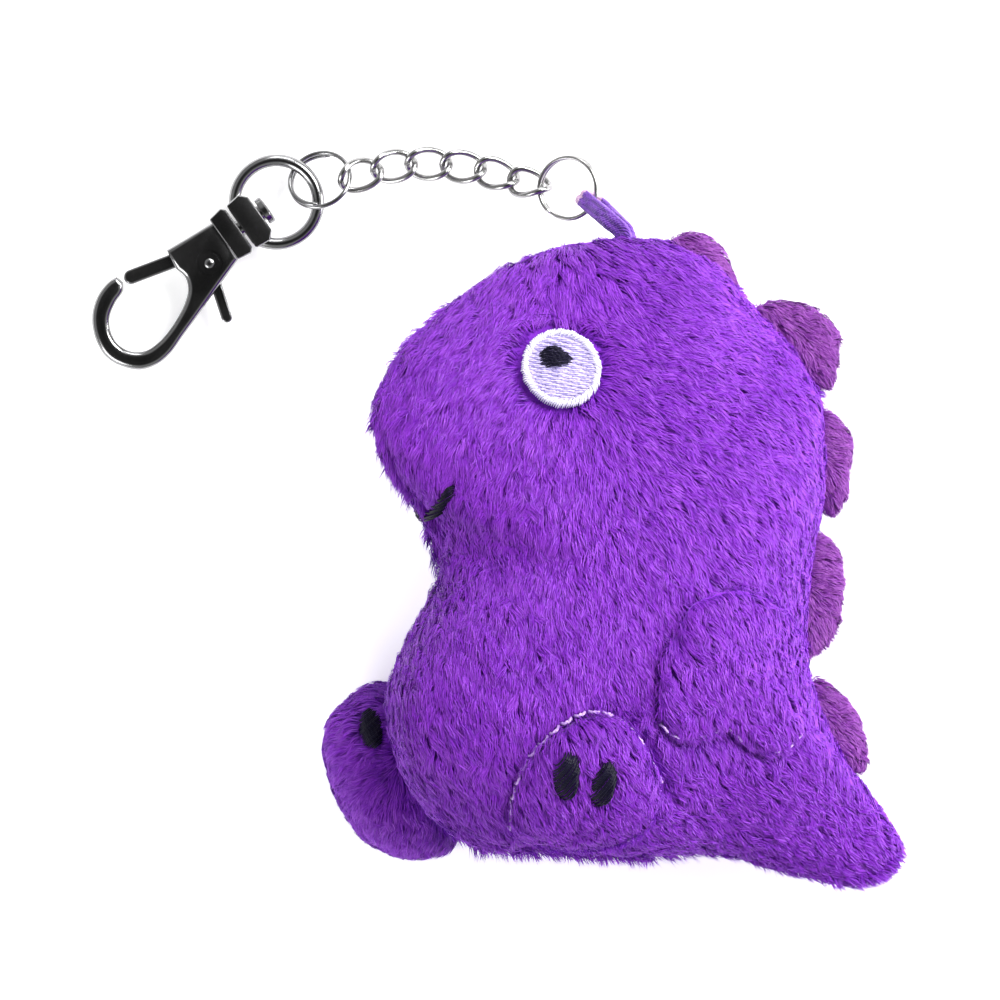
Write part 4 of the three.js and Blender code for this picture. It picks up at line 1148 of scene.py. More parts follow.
@dataclass
class BackFins:
    """Five padded fins in the back seam."""

    half: float = 1.5

    def build(self) -> None:
        """Builds each fin with its pile."""
        for i, outline in enumerate(FINS):
            rim = spline(outline, 72, closed=True)
            middle = rim.mean(axis=0)
            shares = np.sin(np.linspace(0.08, math.pi / 2, 12))
            verts, faces, flat = lobe(
                middle + (rim - middle) * 0.87,
                middle,
                shares,
                FORM.lay,
                lambda share: self.half * math.sqrt(max(0.0, 1 - share**2.6)),
            )
            fin = mesh_piece(f"fin_{i + 1}", verts, faces, Finish.FIN_BACKING)
            fit(fin, TOY, "fin_pile", f"back_fin_{i + 1}")
            out = unit(flat - middle) * 0.5 + np.array([0.75, -0.65])
            flow = np.stack([out[:, 0], out[:, 1], -0.2 * out[:, 0]], axis=1)
            pelt = Pelt(seed=51 + i, length=2.4, stand=0.6, tuft=1.1, width=0.15)
            piece = pelt.grow(
                f"fin_{i + 1}_pile", verts, triangles_of(faces), flow, np.ones(len(verts)), Finish.FIN_PILE
            )
            fit(piece, TOY, "fin_pile")


@dataclass
class RightFoot:
    """The padded right foot, low behind the body."""

    high: float = 15.5

    def height(self, p: np.ndarray, q: np.ndarray) -> np.ndarray:
        """Height of its upper face."""
        away = np.hypot((p + 34) / 11.2, (q + 29) / 13.2)
        return self.high / 2 - 0.5 + (self.high / 2 + 1) * np.sqrt(np.maximum(0.03, 1 - away**2.6)) - 0.4

    def build(self) -> None:
        """Builds the foot with its pile and embroidered toes."""
        rim = spline(RIGHT_FOOT, 110, closed=True)
        middle = np.array([-34.0, -29.0])
        inner = middle + (rim - middle) * 0.93
        shares = np.sin(np.linspace(0.08, math.pi / 2, 22)) ** 0.9
        centre = self.high / 2 - 0.5

        def place(p: np.ndarray, q: np.ndarray, rise: np.ndarray) -> np.ndarray:
            """Points of the foot, kept over the table."""
            height = np.maximum(centre + rise, SKIN_CLEAR)
            return np.stack([FORM.belly[0] + p, FORM.belly[1] + q, height], axis=-1)

        verts, faces, flat = lobe(
            inner,
            middle,
            shares,
            place,
            lambda share: (self.high / 2 + 0.3) * math.sqrt(max(0.0, 1 - share**2.6)),
        )
        foot = mesh_piece("right_foot", verts, faces, Finish.BACKING)
        fit(foot, TOY, "plush_pile", "foot_right")
        out = unit(flat - middle) * 0.7 + np.array([-0.35, -0.75])
        flow = np.concatenate([out, np.full((len(out), 1), -0.15)], axis=1)
        keep = np.ones(len(verts))
        keep[(flat[:, 0] > -29.5) & (flat[:, 1] > -36)] = 0.15
        for p, q, half_p, half_q, lean in RIGHT_TOES:
            upper = verts[:, 2] > centre
            keep[inside(flat, oval(p, q, half_p, half_q, lean)) & upper] = 0
        pelt = Pelt(seed=71, length=3.1, stand=0.8)
        fit(
            pelt.grow("right_foot_pile", verts, triangles_of(faces), flow, keep, Finish.PILE),
            TOY,
            "plush_pile",
        )


# ---------------------------------------------------------------- embroidery


@dataclass
class Embroidery:
    """Rows of satin stitches: slim threads laid side by side over a surface."""

    thread: float = 0.2
    sides: int = 6
    seed: int = 5

    def stitch(
        self,
        ends: np.ndarray,
        surface: Callable[[np.ndarray, np.ndarray, Any], np.ndarray],
        crown: float,
        sunk: float = 0.25,
    ) -> tuple[np.ndarray, list[list[int]]]:
        """One thread between two places, rising from the cloth and dipping back into it.

        Args:
            ends: two places of the side view.
            surface: gives points for places and a lift.
            crown: height of its middle over the surface.
            sunk: how deep its ends go.

        Returns:
            Points and faces.
        """
        share = np.array([0, 0.08, 0.25, 0.5, 0.75, 0.92, 1.0])
        at = ends[0] + (ends[1] - ends[0]) * share[:, None]
        lift = crown * np.array(
            [0, 0.55, 0.95, 1, 0.95, 0.55, 0]
        ) - sunk * np.array([1, 0.2, 0, 0, 0, 0.2, 1])
        path = surface(at[:, 0], at[:, 1], lift)
        return sweep_grid(
            path,
            round_section(self.thread / 2, self.sides, 0.8),
            scale=np.array([0.6, 0.9, 1, 1, 1, 0.9, 0.6]),
        )

    def satin(
        self,
        outline: np.ndarray,
        angle: float,
        surface: Callable[..., np.ndarray],
        crown: float,
        ragged: float = 0.25,
        longest: float = 99.0,
    ) -> list[tuple[np.ndarray, list[list[int]]]]:
        """Fills an outline with parallel stitches.

        Args:
            outline: closed outline in the side view.
            angle: direction of the stitches, radians.
            surface: gives points for places and a lift.
            crown: height over the surface.
            ragged: how unevenly the stitches end.
            longest: longer rows are broken into stitches of about this length.

        Returns:
            Points and faces of each thread.
        """
        rng = np.random.default_rng(self.seed)
        along = np.array([math.cos(angle), math.sin(angle)])
        across = np.array([-along[1], along[0]])
        s, t = outline @ along, outline @ across
        grids = []
        rows = np.arange(t.min() + self.thread / 2, t.max(), self.thread * 0.86)
        for row, level in enumerate(rows):
            crossing = []
            for i in range(len(outline)):
                j = (i + 1) % len(outline)
                if (t[i] > level) != (t[j] > level):
                    crossing.append(s[i] + (s[j] - s[i]) * (level - t[i]) / (t[j] - t[i]))
            if len(crossing) < 2:
                continue
            low, high = min(crossing) - rng.uniform(0, ragged), max(crossing) + rng.uniform(0, ragged)
            if high - low < 0.3:
                continue
            breaks = [low]
            if high - low > longest * 1.4:
                breaks += list(
                    np.arange(
                        low + longest * (0.5 + 0.5 * (row % 2)) * rng.uniform(0.8, 1.2), high - 0.5, longest
                    )
                )
            breaks.append(high)
            for start, stop in zip(breaks[:-1], breaks[1:]):
                ends = np.outer([start + 0.02, stop - 0.02], along) + level * across
                grids.append(
                    self.stitch(
                        ends + rng.normal(0, 0.02, (2, 2)), surface, crown * rng.uniform(0.85, 1.15)
                    )
                )
        return grids

    def piece(
        self, name: str, grids: Sequence[tuple[np.ndarray, list[list[int]]]], finish: Finish
    ) -> bpy.types.Object:
        """Makes one object of many threads."""
        verts, faces = merge_grids(grids)
        return mesh_piece(name, verts, faces, finish)


@dataclass
class Face:
    """Embroidered eyes, pupils and mouth on both sides."""

    needle: Embroidery = field(default_factory=Embroidery)
    fill_thread: float = 0.36
    border_thread: float = 0.3
    dark_thread: float = 0.26
    border_stitches: int = 112

    def build(self) -> None:
        """Builds the left and right sets."""
        for side, word in ((LEFT, "left"), (RIGHT, "right")):
            self.eye(side, word)

    def eye(self, side: int, word: str) -> None:
        """One eye with its pupil and mouth corner."""

        def over(p: np.ndarray, q: np.ndarray, lift: Any) -> np.ndarray:
            """Points a lift over this side's skin, kept over the table."""
            normal = FORM.normal(side, p, q)
            points = FORM.skin(side, p, q) + normal * np.asarray(lift)[..., None]
            points[..., 2] = np.maximum(points[..., 2], 0.15)
            return points

        p, q = EYE_AT
        rim = oval(p, q, EYE_RADIUS - 0.35, EYE_RADIUS - 0.35, count=64)
        centre = np.array([p, q])
        shares = np.linspace(0.05, 1, 10)
        felt_p, felt_q = (p + (rim[:, 0] - p) * shares[:, None]), (q + (rim[:, 1] - q) * shares[:, None])
        top = over(felt_p, felt_q, np.full(felt_p.shape, 0.45))
        low = over(felt_p[::-1], felt_q[::-1], np.full(felt_p.shape, -0.2))
        rows = np.concatenate([top, low])
        faces = grid_faces(len(rows), 64)
        faces += [list(range(64))[::-1], [(len(rows) - 1) * 64 + k for k in range(64)]]
        ground = mesh_piece("eye_ground_" + word, rows.reshape(-1, 3), faces, Finish.LILAC_THREAD)
        fit(ground, TOY, "eye_embroidery", "eye_" + word)
        fill = Embroidery(thread=self.fill_thread, seed=5).satin(
            rim, 0.04, over, 0.62, ragged=0.0, longest=2.3
        )
        fit(self.needle.piece("eye_fill_" + word, fill, Finish.LILAC_THREAD), TOY, "eye_embroidery")
        rng = np.random.default_rng(9)
        border = []
        needle = Embroidery(thread=self.border_thread)
        for turn in np.linspace(0, 2 * math.pi, self.border_stitches, endpoint=False):
            lean = turn + 0.12
            out = np.array([math.cos(turn), math.sin(turn)]) * (EYE_RADIUS + rng.uniform(-0.15, 0.12))
            inward = np.array([math.cos(lean), math.sin(lean)]) * (
                EYE_RADIUS - 1.0 - rng.uniform(-0.1, 0.25)
            )
            border.append(needle.stitch(np.stack([centre + inward, centre + out]), over, 0.85))
        fit(self.needle.piece("eye_border_" + word, border, Finish.WHITE_THREAD), TOY, "eye_embroidery")

        def raised(p: np.ndarray, q: np.ndarray, lift: Any) -> np.ndarray:
            """The same, over the eye's fill."""
            return over(p, q, np.asarray(lift) + 0.55)

        pupil = Embroidery(thread=self.dark_thread, seed=3).satin(
            spline(PUPIL, 60, closed=True), 0.08, raised, 0.6, ragged=0.35
        )
        fit(
            self.needle.piece("pupil_satin_" + word, pupil, Finish.DARK_THREAD),
            TOY,
            "dark_embroidery",
            "pupil_" + word,
        )
        mouth = Embroidery(thread=self.dark_thread, seed=4).satin(
            spline(MOUTH, 60, closed=True), 0.5, over, 1.35, ragged=0.4
        )
        tail = self.needle.stitch(np.array([[-29.6, 9.3], [-30.2, 8.7]]), over, 0.9)
        fit(
            self.needle.piece("mouth_satin_" + word, mouth + [tail], Finish.DARK_THREAD),
            TOY,
            "dark_embroidery",
            "mouth_" + word,
        )


def on_patch(side: int, lift: float) -> Callable[..., np.ndarray]:
    """A surface function a fixed height over the skin."""

    def over(p: np.ndarray, q: np.ndarray, extra: Any) -> np.ndarray:
        """Points over the skin."""
        return FORM.skin(side, p, q) + FORM.normal(side, p, q) * (lift + np.asarray(extra))[..., None]

    return over


@dataclass
class Toes:
    """Black satin-stitched toes on both feet."""

    def build(self, foot: RightFoot, foot_rise: float) -> None:
        """Args: foot: the right foot. foot_rise: height of the left foot's pad over the body."""
        for i, (p, q, half_p, half_q, lean) in enumerate(TOES):
            word = ("front", "rear")[i]
            threads = Embroidery(thread=0.28, seed=60 + i).satin(
                oval(p, q, half_p, half_q, lean), 0.9, on_patch(LEFT, foot_rise), 1.75, ragged=0.45
            )
            fit(
                Embroidery().piece(f"left_toe_{word}", threads, Finish.DARK_THREAD),
                TOY,
                "dark_embroidery",
                f"toe_left_{word}",
            )
        for i, (p, q, half_p, half_q, lean) in enumerate(RIGHT_TOES):
            word = ("front", "rear")[i]

            def over(pp: np.ndarray, qq: np.ndarray, extra: Any) -> np.ndarray:
                """Points over the right foot."""
                return np.stack(
                    [FORM.belly[0] + pp, FORM.belly[1] + qq, foot.height(pp, qq) + np.asarray(extra)],
                    axis=-1,
                )

            threads = Embroidery(thread=0.28, seed=70 + i).satin(
                oval(p, q, half_p, half_q, lean), 0.7, over, 1.6, ragged=0.4
            )
            fit(
                Embroidery().piece(f"right_toe_{word}", threads, Finish.DARK_THREAD),
                TOY,
                "dark_embroidery",
                f"toe_right_{word}",
            )


@dataclass
class Topstitch:
    """A line of two-ply running stitches along a path of the side view."""

    name: str
    node: str
    path: tuple[tuple[float, float], ...]
    pitch: float = 2.6
    share: float = 0.72
    thread: float = 0.34
    height: float = 1.0
    shown: Callable[[float], bool] = lambda share: True

    def build(self) -> None:
        """Builds the stitches as one piece."""
        line = spline(self.path, 400)
        away = np.concatenate([[0], np.cumsum(np.linalg.norm(np.diff(line, axis=0), axis=1))])
        grids = []
        over = on_patch(LEFT, 0.0)
        for start in np.arange(0, away[-1] - self.pitch * 0.5, self.pitch):
            if not self.shown(start / away[-1]):
                continue
            at = np.linspace(start, start + self.pitch * self.share, 14)
            flat = np.stack([np.interp(at, away, line[:, k]) for k in range(2)], axis=1)
            arch = np.sin(np.linspace(0, math.pi, 14)) ** 0.5
            for ply in (0, math.pi):
                twist = np.linspace(0, 2.2 * math.pi, 14) + ply
                side = np.gradient(flat, axis=0)
                side = unit(np.stack([-side[:, 1], side[:, 0]], axis=1)) * (0.16 * np.cos(twist))[:, None]
                lift = self.height * arch + 0.14 * np.sin(twist) - 0.3 * (1 - arch)
                points = over(flat[:, 0] + side[:, 0], flat[:, 1] + side[:, 1], lift)
                grids.append(sweep_grid(points, round_section(self.thread / 2, 6)))
        verts, faces = merge_grids(grids)
        fit(mesh_piece(self.name, verts, faces, Finish.LEG_THREAD), TOY, "topstitch_thread", self.node)


# ---------------------------------------------------------------- hardware


def frame_at(origin: Sequence[float], heading: float, pitch: float = 0.0, roll: float = 0.0) -> np.ndarray:
    """A 4 by 4 frame in millimetres whose x axis runs along heading and pitch, rolled about itself."""
    aimed = Matrix.Rotation(heading, 4, "Z") @ Matrix.Rotation(-pitch, 4, "Y")
    turn = aimed @ Matrix.Rotation(roll, 4, "X")
    turn.translation = Vector(origin)
    return np.array(turn)


def moved(points: np.ndarray, placed: np.ndarray) -> np.ndarray:
    """Points of a local frame in the table's frame."""
    return points @ placed[:3, :3].T + placed[:3, 3]


@dataclass
class SplitRing:
    """A small double-coil ring."""

    name: str
    node: str
    body: str
    finish: Finish
    slot: str
    heading: float
    pitch: float
    roll: float
    start: float
    radius: float = 4.6
    wire: float = 0.72
    turns: float = 1.54
    rise: float = 0.8

    def build(self) -> None:
        """Winds the ring, its two ends filed flat against the coil."""
        low, high = (np.array(corner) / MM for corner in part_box(self.node))
        steps = 260
        share = np.linspace(0, 1, steps)
        turn = self.start + 2 * math.pi * self.turns * share
        path = np.stack(
            [
                self.radius * np.cos(turn),
                self.radius * np.sin(turn),
                self.rise * self.turns * (share - 0.5),
            ],
            axis=1,
        )
        ends = np.minimum(1, 0.55 + np.minimum(share, 1 - share) * 30)
        section = round_section(self.wire / 2, 20) * np.array([1.04, 0.96])
        verts, faces = sweep_grid(path, section, side=np.array([0, 0, 1.0]), scale=ends)
        verts = moved(verts, frame_at([0, 0, 0], self.heading, self.pitch, self.roll))
        verts += (low + high) / 2 - (verts.max(axis=0) + verts.min(axis=0)) / 2
        fit(mesh_piece(self.name, verts, faces, self.finish), self.body, self.slot, self.node)


@dataclass
class CurbChain:
    """Six twisted oval links between the two rings."""

    long: float = 6.5
    wide: float = 4.3
    wire: float = 1.0
    twist: float = math.radians(45)
    square: float = 0.28
    rolls: tuple[float, ...] = (30, 18, 8, 0, 0, 0)

    def build(self) -> None:
        """Bends each link and lays it between its two knots."""
        knots = [pivot(f"link_{i}_swing") for i in range(1, 7)] + [pivot("upper_ring_swing")]
        turn = np.linspace(0, 2 * math.pi, 96, endpoint=False)
        out = self.wide / 2 * np.sin(turn) * (1 + self.square * np.cos(turn) ** 2)
        lean = -self.twist * np.cos(turn)
        path = np.stack([self.long / 2 * np.cos(turn), out * np.cos(lean), out * np.sin(lean)], axis=1)
        verts, faces = sweep_grid(path, round_section(self.wire / 2, 18), closed=True)
        for i in range(6):
            along = knots[i + 1] - knots[i]
            heading = math.atan2(along[1], along[0])
            pitch = math.asin(along[2] / np.linalg.norm(along))
            middle = (knots[i] + knots[i + 1]) / 2
            placed = moved(verts, frame_at(middle, heading, pitch, math.radians(self.rolls[i])))
            link = mesh_piece(f"curb_link_{i + 1}", placed, faces, Finish.NICKEL)
            fit(link, f"link_{i + 1}", "bright_nickel", f"chain_link_{i + 1}")


@dataclass
class HangingLoop:
    """The braided loop between the head seam and the lower ring."""

    wide: float = 2.7
    thick: float = 0.95
    open: float = 1.75
    lean: float = math.radians(22)
    ring_tilt: float = math.radians(24)
    yarns: int = 11

    def path(self) -> tuple[np.ndarray, np.ndarray]:
        """The tape's centre line out, round the fold and back, and its width direction."""
        low, high = (np.array(corner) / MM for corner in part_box("split_ring_lower"))
        centre = np.array([10.3 + SHIFT[0], 46.94 + SHIFT[1], (low[2] + high[2]) / 2])
        turn = math.radians(-30)
        radius = SplitRing.radius
        fold = centre + radius * np.array(
            [
                math.cos(turn) * math.cos(self.ring_tilt),
                math.sin(turn),
                math.cos(turn) * math.sin(self.ring_tilt),
            ]
        )
        sew = FORM.lay(0.6, float(FORM.radius(math.pi / 2, 0.0)) + 0.2, 0.3)
        line = spline(
            [
                fold,
                fold + (sew - fold) * 0.3,
                fold + (sew - fold) * 0.7 + [0, 0, 0.7],
                sew,
                sew + [0.6, -2.6, 0.4],
            ],
            60,
        )
        across = unit((sew - fold) * [1, 1, 0])
        side = np.array(
            [-across[1] * math.cos(self.lean), across[0] * math.cos(self.lean), math.sin(self.lean)]
        )
        tangent = unit(np.gradient(line, axis=0))
        normal = unit(np.cross(tangent, side))
        share = np.linspace(0, 1, len(line))
        closing = np.clip((share - 0.25) / 0.6, 0, 1)
        closing = closing * closing * (3 - 2 * closing)
        spread = (self.open * (1 - closing) + (self.thick / 2 + 0.05) * closing)[:, None]
        turns = np.radians(np.linspace(80, -80, 15))[:, None]
        bend = fold - tangent[0] * self.open * 1.15 * np.cos(turns) + normal[0] * self.open * np.sin(turns)
        whole = np.vstack([(line + normal * spread)[::-1], bend, line - normal * spread])
        return spline(whole[::3], 360), side

    def build(self) -> None:
        """Builds the tape's core and the yarns braided over it."""
        path, side = self.path()
        core, faces = sweep_grid(
            path[::4],
            round_section(1.0, 20) * np.array([self.wide / 2 - 0.3, self.thick / 2 - 0.22]),
            side=side,
        )
        grids = [(core, faces)]
        tangent = unit(np.gradient(path, axis=0))
        first = unit(side - tangent * (tangent @ side)[:, None])
        second = np.cross(tangent, first)
        away = np.concatenate([[0], np.cumsum(np.linalg.norm(np.diff(path, axis=0), axis=1))])
        for k in range(self.yarns):
            phase = 2 * math.pi * (away / 4.6 + k / self.yarns)
            across = (self.wide / 2 - 0.22) * np.sin(phase)
            over = (self.thick / 2 - 0.12) * np.sign(np.cos(phase)) * np.abs(np.cos(phase)) ** 0.35
            over += 0.09 * np.sin(phase * 5.5)
            yarn = path + first * across[:, None] + second * over[:, None]
            grids.append(sweep_grid(yarn, round_section(0.27, 7, 0.7)))
        verts, faces = merge_grids(grids)
        loop = mesh_piece("braided_loop", verts, faces, Finish.WEBBING)
        loop.data.materials.append(Finish.WEBBING_WORN.material)
        # The braid within 2.6 mm of the fold round the ring takes a lighter, pinker colour.
        fold = path[len(path) // 2]
        centres = np.array([np.mean([verts[i] for i in face], axis=0) for face in faces])
        near_fold = np.linalg.norm(centres - fold, axis=1) < 2.6
        loop.data.polygons.foreach_set("material_index", near_fold.astype(np.int32))
        fit(loop, "loop", "loop_webbing", "hanging_loop")


@dataclass
class Clasp:
    """Swivel trigger clasp in its own frame: x from the hook toward the ring, y across, z up."""

    half: float = 2.1
    bevel: float = 0.75
    pin: tuple[float, float] = (-11.6, -1.7)
    gate_half: float = 0.95
    gate_gap: float = 0.3
    eye_middle: float = 2.0
    eye_radius: float = 6.3
    eye_wire: float = 0.93
    swing: tuple[float, ...] = (0, 7, 15, 22)
    hook: tuple[tuple[float, float], ...] = (
        (-7.4, -3.6), (-12.5, -5.3), (-17.4, -7.0), (-21, -8.2), (-24.2, -9.3), (-26.8, -9.5), (-29.3, -8.7),
        (-31.2, -6.8), (-32.4, -4.2), (-32.2, -1.1), (-30.7, 2.0), (-28.2, 4.1), (-25.6, 4.9), (-24.1, 4.8),
        (-23.9, 3.6), (-24.7, 2.5), (-26.5, 1.8), (-28.5, 0.5), (-29.6, -1.2), (-29.9, -3.4), (-29.0, -5.5),
        (-27.1, -6.8), (-24.7, -6.9), (-22.5, -6.4), (-20.4, -5.6), (-18.1, -4.4), (-16.5, -3.0),
        (-15.8, -1.2),
        (-16.2, 0.6), (-15.7, 3.7), (-7.4, 3.0),
    )  # fmt: skip

    def __post_init__(self) -> None:
        """Reads the clasp's frame from the swivel joint."""
        axis = joint("clasp_swivel")["axis"]
        self.placed = frame_at(pivot("clasp_swivel"), math.atan2(axis[1], axis[0]))

    def inset(self, outline: np.ndarray, distance: float) -> np.ndarray:
        """An anticlockwise outline moved in by distance, with its small loops smoothed away."""
        along = unit(np.roll(outline, -1, axis=0) - np.roll(outline, 1, axis=0))
        shrunk = outline + distance * np.stack([-along[:, 1], along[:, 0]], axis=1)
        edge = np.roll(outline, -1, axis=0) - outline
        for _ in range(80):
            back = ((np.roll(shrunk, -1, axis=0) - shrunk) * edge).sum(axis=1) < 0
            if not back.any():
                break
            between = (np.roll(shrunk, 1, axis=0) + np.roll(shrunk, -1, axis=0)) / 2
            loose = back | np.roll(back, 1)
            shrunk[loose] = between[loose]
        return shrunk

    def plate(self, outline: np.ndarray, half: float, bevel: float) -> bpy.types.Object:
        """A flat plate with rounded edges.

        Args:
            outline: closed outline.
            half: half its thickness.
            bevel: radius of its edges.

        Returns:
            The plate in the clasp's own frame.
        """
        x, y = outline[:, 0], outline[:, 1]
        if (x * np.roll(y, -1) - y * np.roll(x, -1)).sum() < 0:
            outline = outline[::-1]
        turns = np.linspace(0, math.pi / 2, 5)
        levels = [(bevel * (1 - math.sin(t)), half - bevel * (1 - math.cos(t))) for t in turns]
        rows = [
            np.column_stack([self.inset(outline, move), np.full(len(outline), -z)]) for move, z in levels
        ]
        rows += [
            np.column_stack([self.inset(outline, move), np.full(len(outline), z)]) for move, z in levels[::-1]
        ]
        last, across = (len(rows) - 1) * len(outline), len(outline)
        faces = grid_faces(len(rows), across)
        faces += [list(range(across))[::-1], [last + k for k in range(across)]]
        return mesh_piece("plate", np.vstack(rows), faces, Finish.GUNMETAL)

    def turned(
        self,
        profile: Sequence[tuple[float, float]],
        sides: int = 48,
        upright: Optional[tuple[float, float]] = None,
    ) -> bpy.types.Object:
        """A turned piece from (radius, height) pairs, along x, or upright over a place."""
        rows = []
        for radius, height in profile:
            turn = np.linspace(0, 2 * math.pi, sides, endpoint=False)
            r = max(radius, 1e-3)
            if upright is None:
                rows.append(np.stack([np.full(sides, height), r * np.cos(turn), r * np.sin(turn)], axis=1))
            else:
                rows.append(
                    np.stack(
                        [
                            upright[0] + r * np.cos(turn),
                            upright[1] + r * np.sin(turn),
                            np.full(sides, height),
                        ],
                        axis=1,
                    )
                )
        verts = np.vstack(rows)
        faces = grid_faces(len(rows), sides)
        last = (len(rows) - 1) * sides
        faces += [list(range(sides))[::-1], [last + k for k in range(sides)]]
        piece = mesh_piece("turned", verts, faces, Finish.GUNMETAL)
        outward(piece.data)
        return piece

    def bar(self, start: tuple[float, float], stop: tuple[float, float], half: float) -> np.ndarray:
        """Outline of a bar with round ends."""
        along = math.atan2(stop[1] - start[1], stop[0] - start[0])
        first = along + math.pi / 2 + np.linspace(0, math.pi, 16)
        second = along - math.pi / 2 + np.linspace(0, math.pi, 16)
        return np.vstack([
            np.array(start) + half * np.stack([np.cos(first), np.sin(first)], axis=1),
            np.array(stop) + half * np.stack([np.cos(second), np.sin(second)], axis=1),
        ])

    def finish(
        self, name: str, piece: bpy.types.Object, body: str, *nodes: str, angle: float = 32.0
    ) -> None:
        """Names a piece, puts it in the table's frame, and gives it its finish and body."""
        piece.name = piece.data.name = name
        piece.data.materials.clear()
        piece.data.materials.append(Finish.GUNMETAL.material)
        placed = Matrix(self.placed.tolist())
        placed.translation *= MM
        piece.data.transform(placed)
        count = len(piece.data.polygons)
        piece.data.polygons.foreach_set("use_smooth", [True] * count)
        piece.data.polygons.foreach_set("material_index", [0] * count)
        piece.data.set_sharp_from_angle(angle=math.radians(angle))
        fit(piece, body, "gunmetal", *nodes)

    def block(
        self, near: float, far: float, half_near: float, half_far: float, thick: float, chamfer: float
    ) -> bpy.types.Object:
        """A chamfered block across the clasp's length with finely bevelled edges."""
        c = chamfer
        outline = np.array(
            [
                [near, -half_near + c],
                [near, half_near - c],
                [near - c, half_near],
                [far, half_far],
                [far, -half_far],
                [near - c, -half_near],
            ]
        )
        verts = np.vstack([np.column_stack([outline, np.full(6, z)]) for z in (-thick / 2, thick / 2)])
        faces = grid_faces(2, 6) + [[5, 4, 3, 2, 1, 0], [6, 7, 8, 9, 10, 11]]
        piece = mesh_piece("block", verts, faces, Finish.GUNMETAL)
        built = bmesh.new()
        built.from_mesh(piece.data)
        bmesh.ops.recalc_face_normals(built, faces=built.faces)
        bmesh.ops.bevel(
            built, geom=list(built.edges), offset=0.35 * MM, segments=3, profile=0.6, affect="EDGES"
        )
        built.to_mesh(piece.data)
        built.free()
        return piece

    def build_eye(self) -> None:
        """The round swivel eye with its block, and the rivet through it."""
        turn = np.linspace(0, 2 * math.pi, 160, endpoint=False)
        radius = self.eye_radius
        ring = np.stack(
            [self.eye_middle + radius * np.cos(turn), radius * np.sin(turn), np.zeros(160)], axis=1
        )
        verts, faces = sweep_grid(
            ring, round_section(self.eye_wire, 28), side=np.array([0, 0, 1.0]), closed=True
        )
        eye = mesh_piece("eye_ring", verts, faces, Finish.GUNMETAL)
        block = self.block(-1.0, -4.5, 4.2, 3.9, 5.0, 1.1)
        eye = boolean(eye, block, "UNION")
        eye = boolean(eye, self.turned([(1.6, -12), (1.6, 4)]), "DIFFERENCE")
        trim = mesh_piece("trim", *self.box((-8.5, -9, -4), (-4.55, 9, 4)), Finish.GUNMETAL)
        eye = boolean(eye, trim, "DIFFERENCE")
        self.finish("swivel_eye_ring", eye, "clasp_eye", "swivel_eye")
        head = [
            (0, -9.5),
            (1.3, -9.5),
            (1.3, -0.7),
            (2.05, -0.7),
            (2.2, -0.55),
            (2.2, 0.15),
            (2.1, 0.3),
            (1.9, 0.4),
            (1.1, 0.46),
            (0, 0.48),
        ]
        self.finish("swivel_rivet_head", self.turned(head), "clasp_hook", "swivel_rivet")

    def box(self, low: Sequence[float], high: Sequence[float]) -> tuple[np.ndarray, list[list[int]]]:
        """Points and faces of a cutting box."""
        x, y, z = zip(low, high)
        verts = np.array([[a, b, c] for a in x for b in y for c in z], float)
        faces = [[0, 1, 3, 2], [4, 6, 7, 5], [0, 4, 5, 1], [2, 3, 7, 6], [0, 2, 6, 4], [1, 5, 7, 3]]
        return verts, faces

    def build_hook(self) -> None:
        """The hook body with its collar, its slot for the gate, and the pivot pin."""
        points = self.hook
        outer = spline(points[0:14], 150)
        inner = spline(points[14:29], 130)
        outline = np.vstack([outer, inner, [points[29]], [points[30]]])
        body = self.plate(outline, self.half, self.bevel)
        collar = self.block(-4.9, -7.8, 4.1, 3.7, 5.6, 0.6)
        body = boolean(body, collar, "UNION")
        slot = self.gate_half + self.gate_gap
        for degrees in self.swing:
            turn = math.radians(degrees)
            for start, stop, half in (
                ((-15.2, 1.65), (-22.3, 3.5), 1.4),
                (self.pin, (-15.2, 1.65), 1.4),
                (self.pin, (-14.2, -9.8), 1.15),
            ):
                outline = self.bar(start, stop, half) - self.pin
                spun = outline @ np.array(
                    [[math.cos(turn), math.sin(turn)], [-math.sin(turn), math.cos(turn)]]
                ) + self.pin
                tool = self.plate(spun, slot, 0.01)
                body = boolean(body, tool, "DIFFERENCE")
        body = boolean(body, self.turned([(2.9, -slot), (2.9, slot)], upright=self.pin), "DIFFERENCE")
        groove = [(1.55, 1.85), (2.05, 1.85), (2.05, 2.6), (1.55, 2.6)]
        for sign in (1, -1):
            turn = np.linspace(0, 2 * math.pi, 72, endpoint=False)
            x, y = np.cos(turn), np.sin(turn)
            rows = [
                np.stack([self.pin[0] + r * x, self.pin[1] + r * y, np.full(72, sign * z)], axis=1)
                for r, z in groove
            ]
            tool = mesh_piece("groove", np.vstack(rows), grid_faces(4, 72, wrap_rows=True), Finish.GUNMETAL)
            body = boolean(body, tool, "DIFFERENCE")
        self.finish("hook_and_collar", body, "clasp_hook", "hook_body")
        dome = [
            (0, -2.1),
            (0.7, -2.08),
            (1.15, -1.95),
            (1.2, -1.8),
            (0.8, -1.7),
            (0.8, 1.7),
            (1.2, 1.8),
            (1.15, 1.98),
            (0.75, 2.1),
            (0.7, 2.3),
            (0.5, 2.42),
            (0, 2.46),
        ]
        self.finish("gate_pivot_pin", self.turned(dome, upright=self.pin), "clasp_hook", "gate_pin")

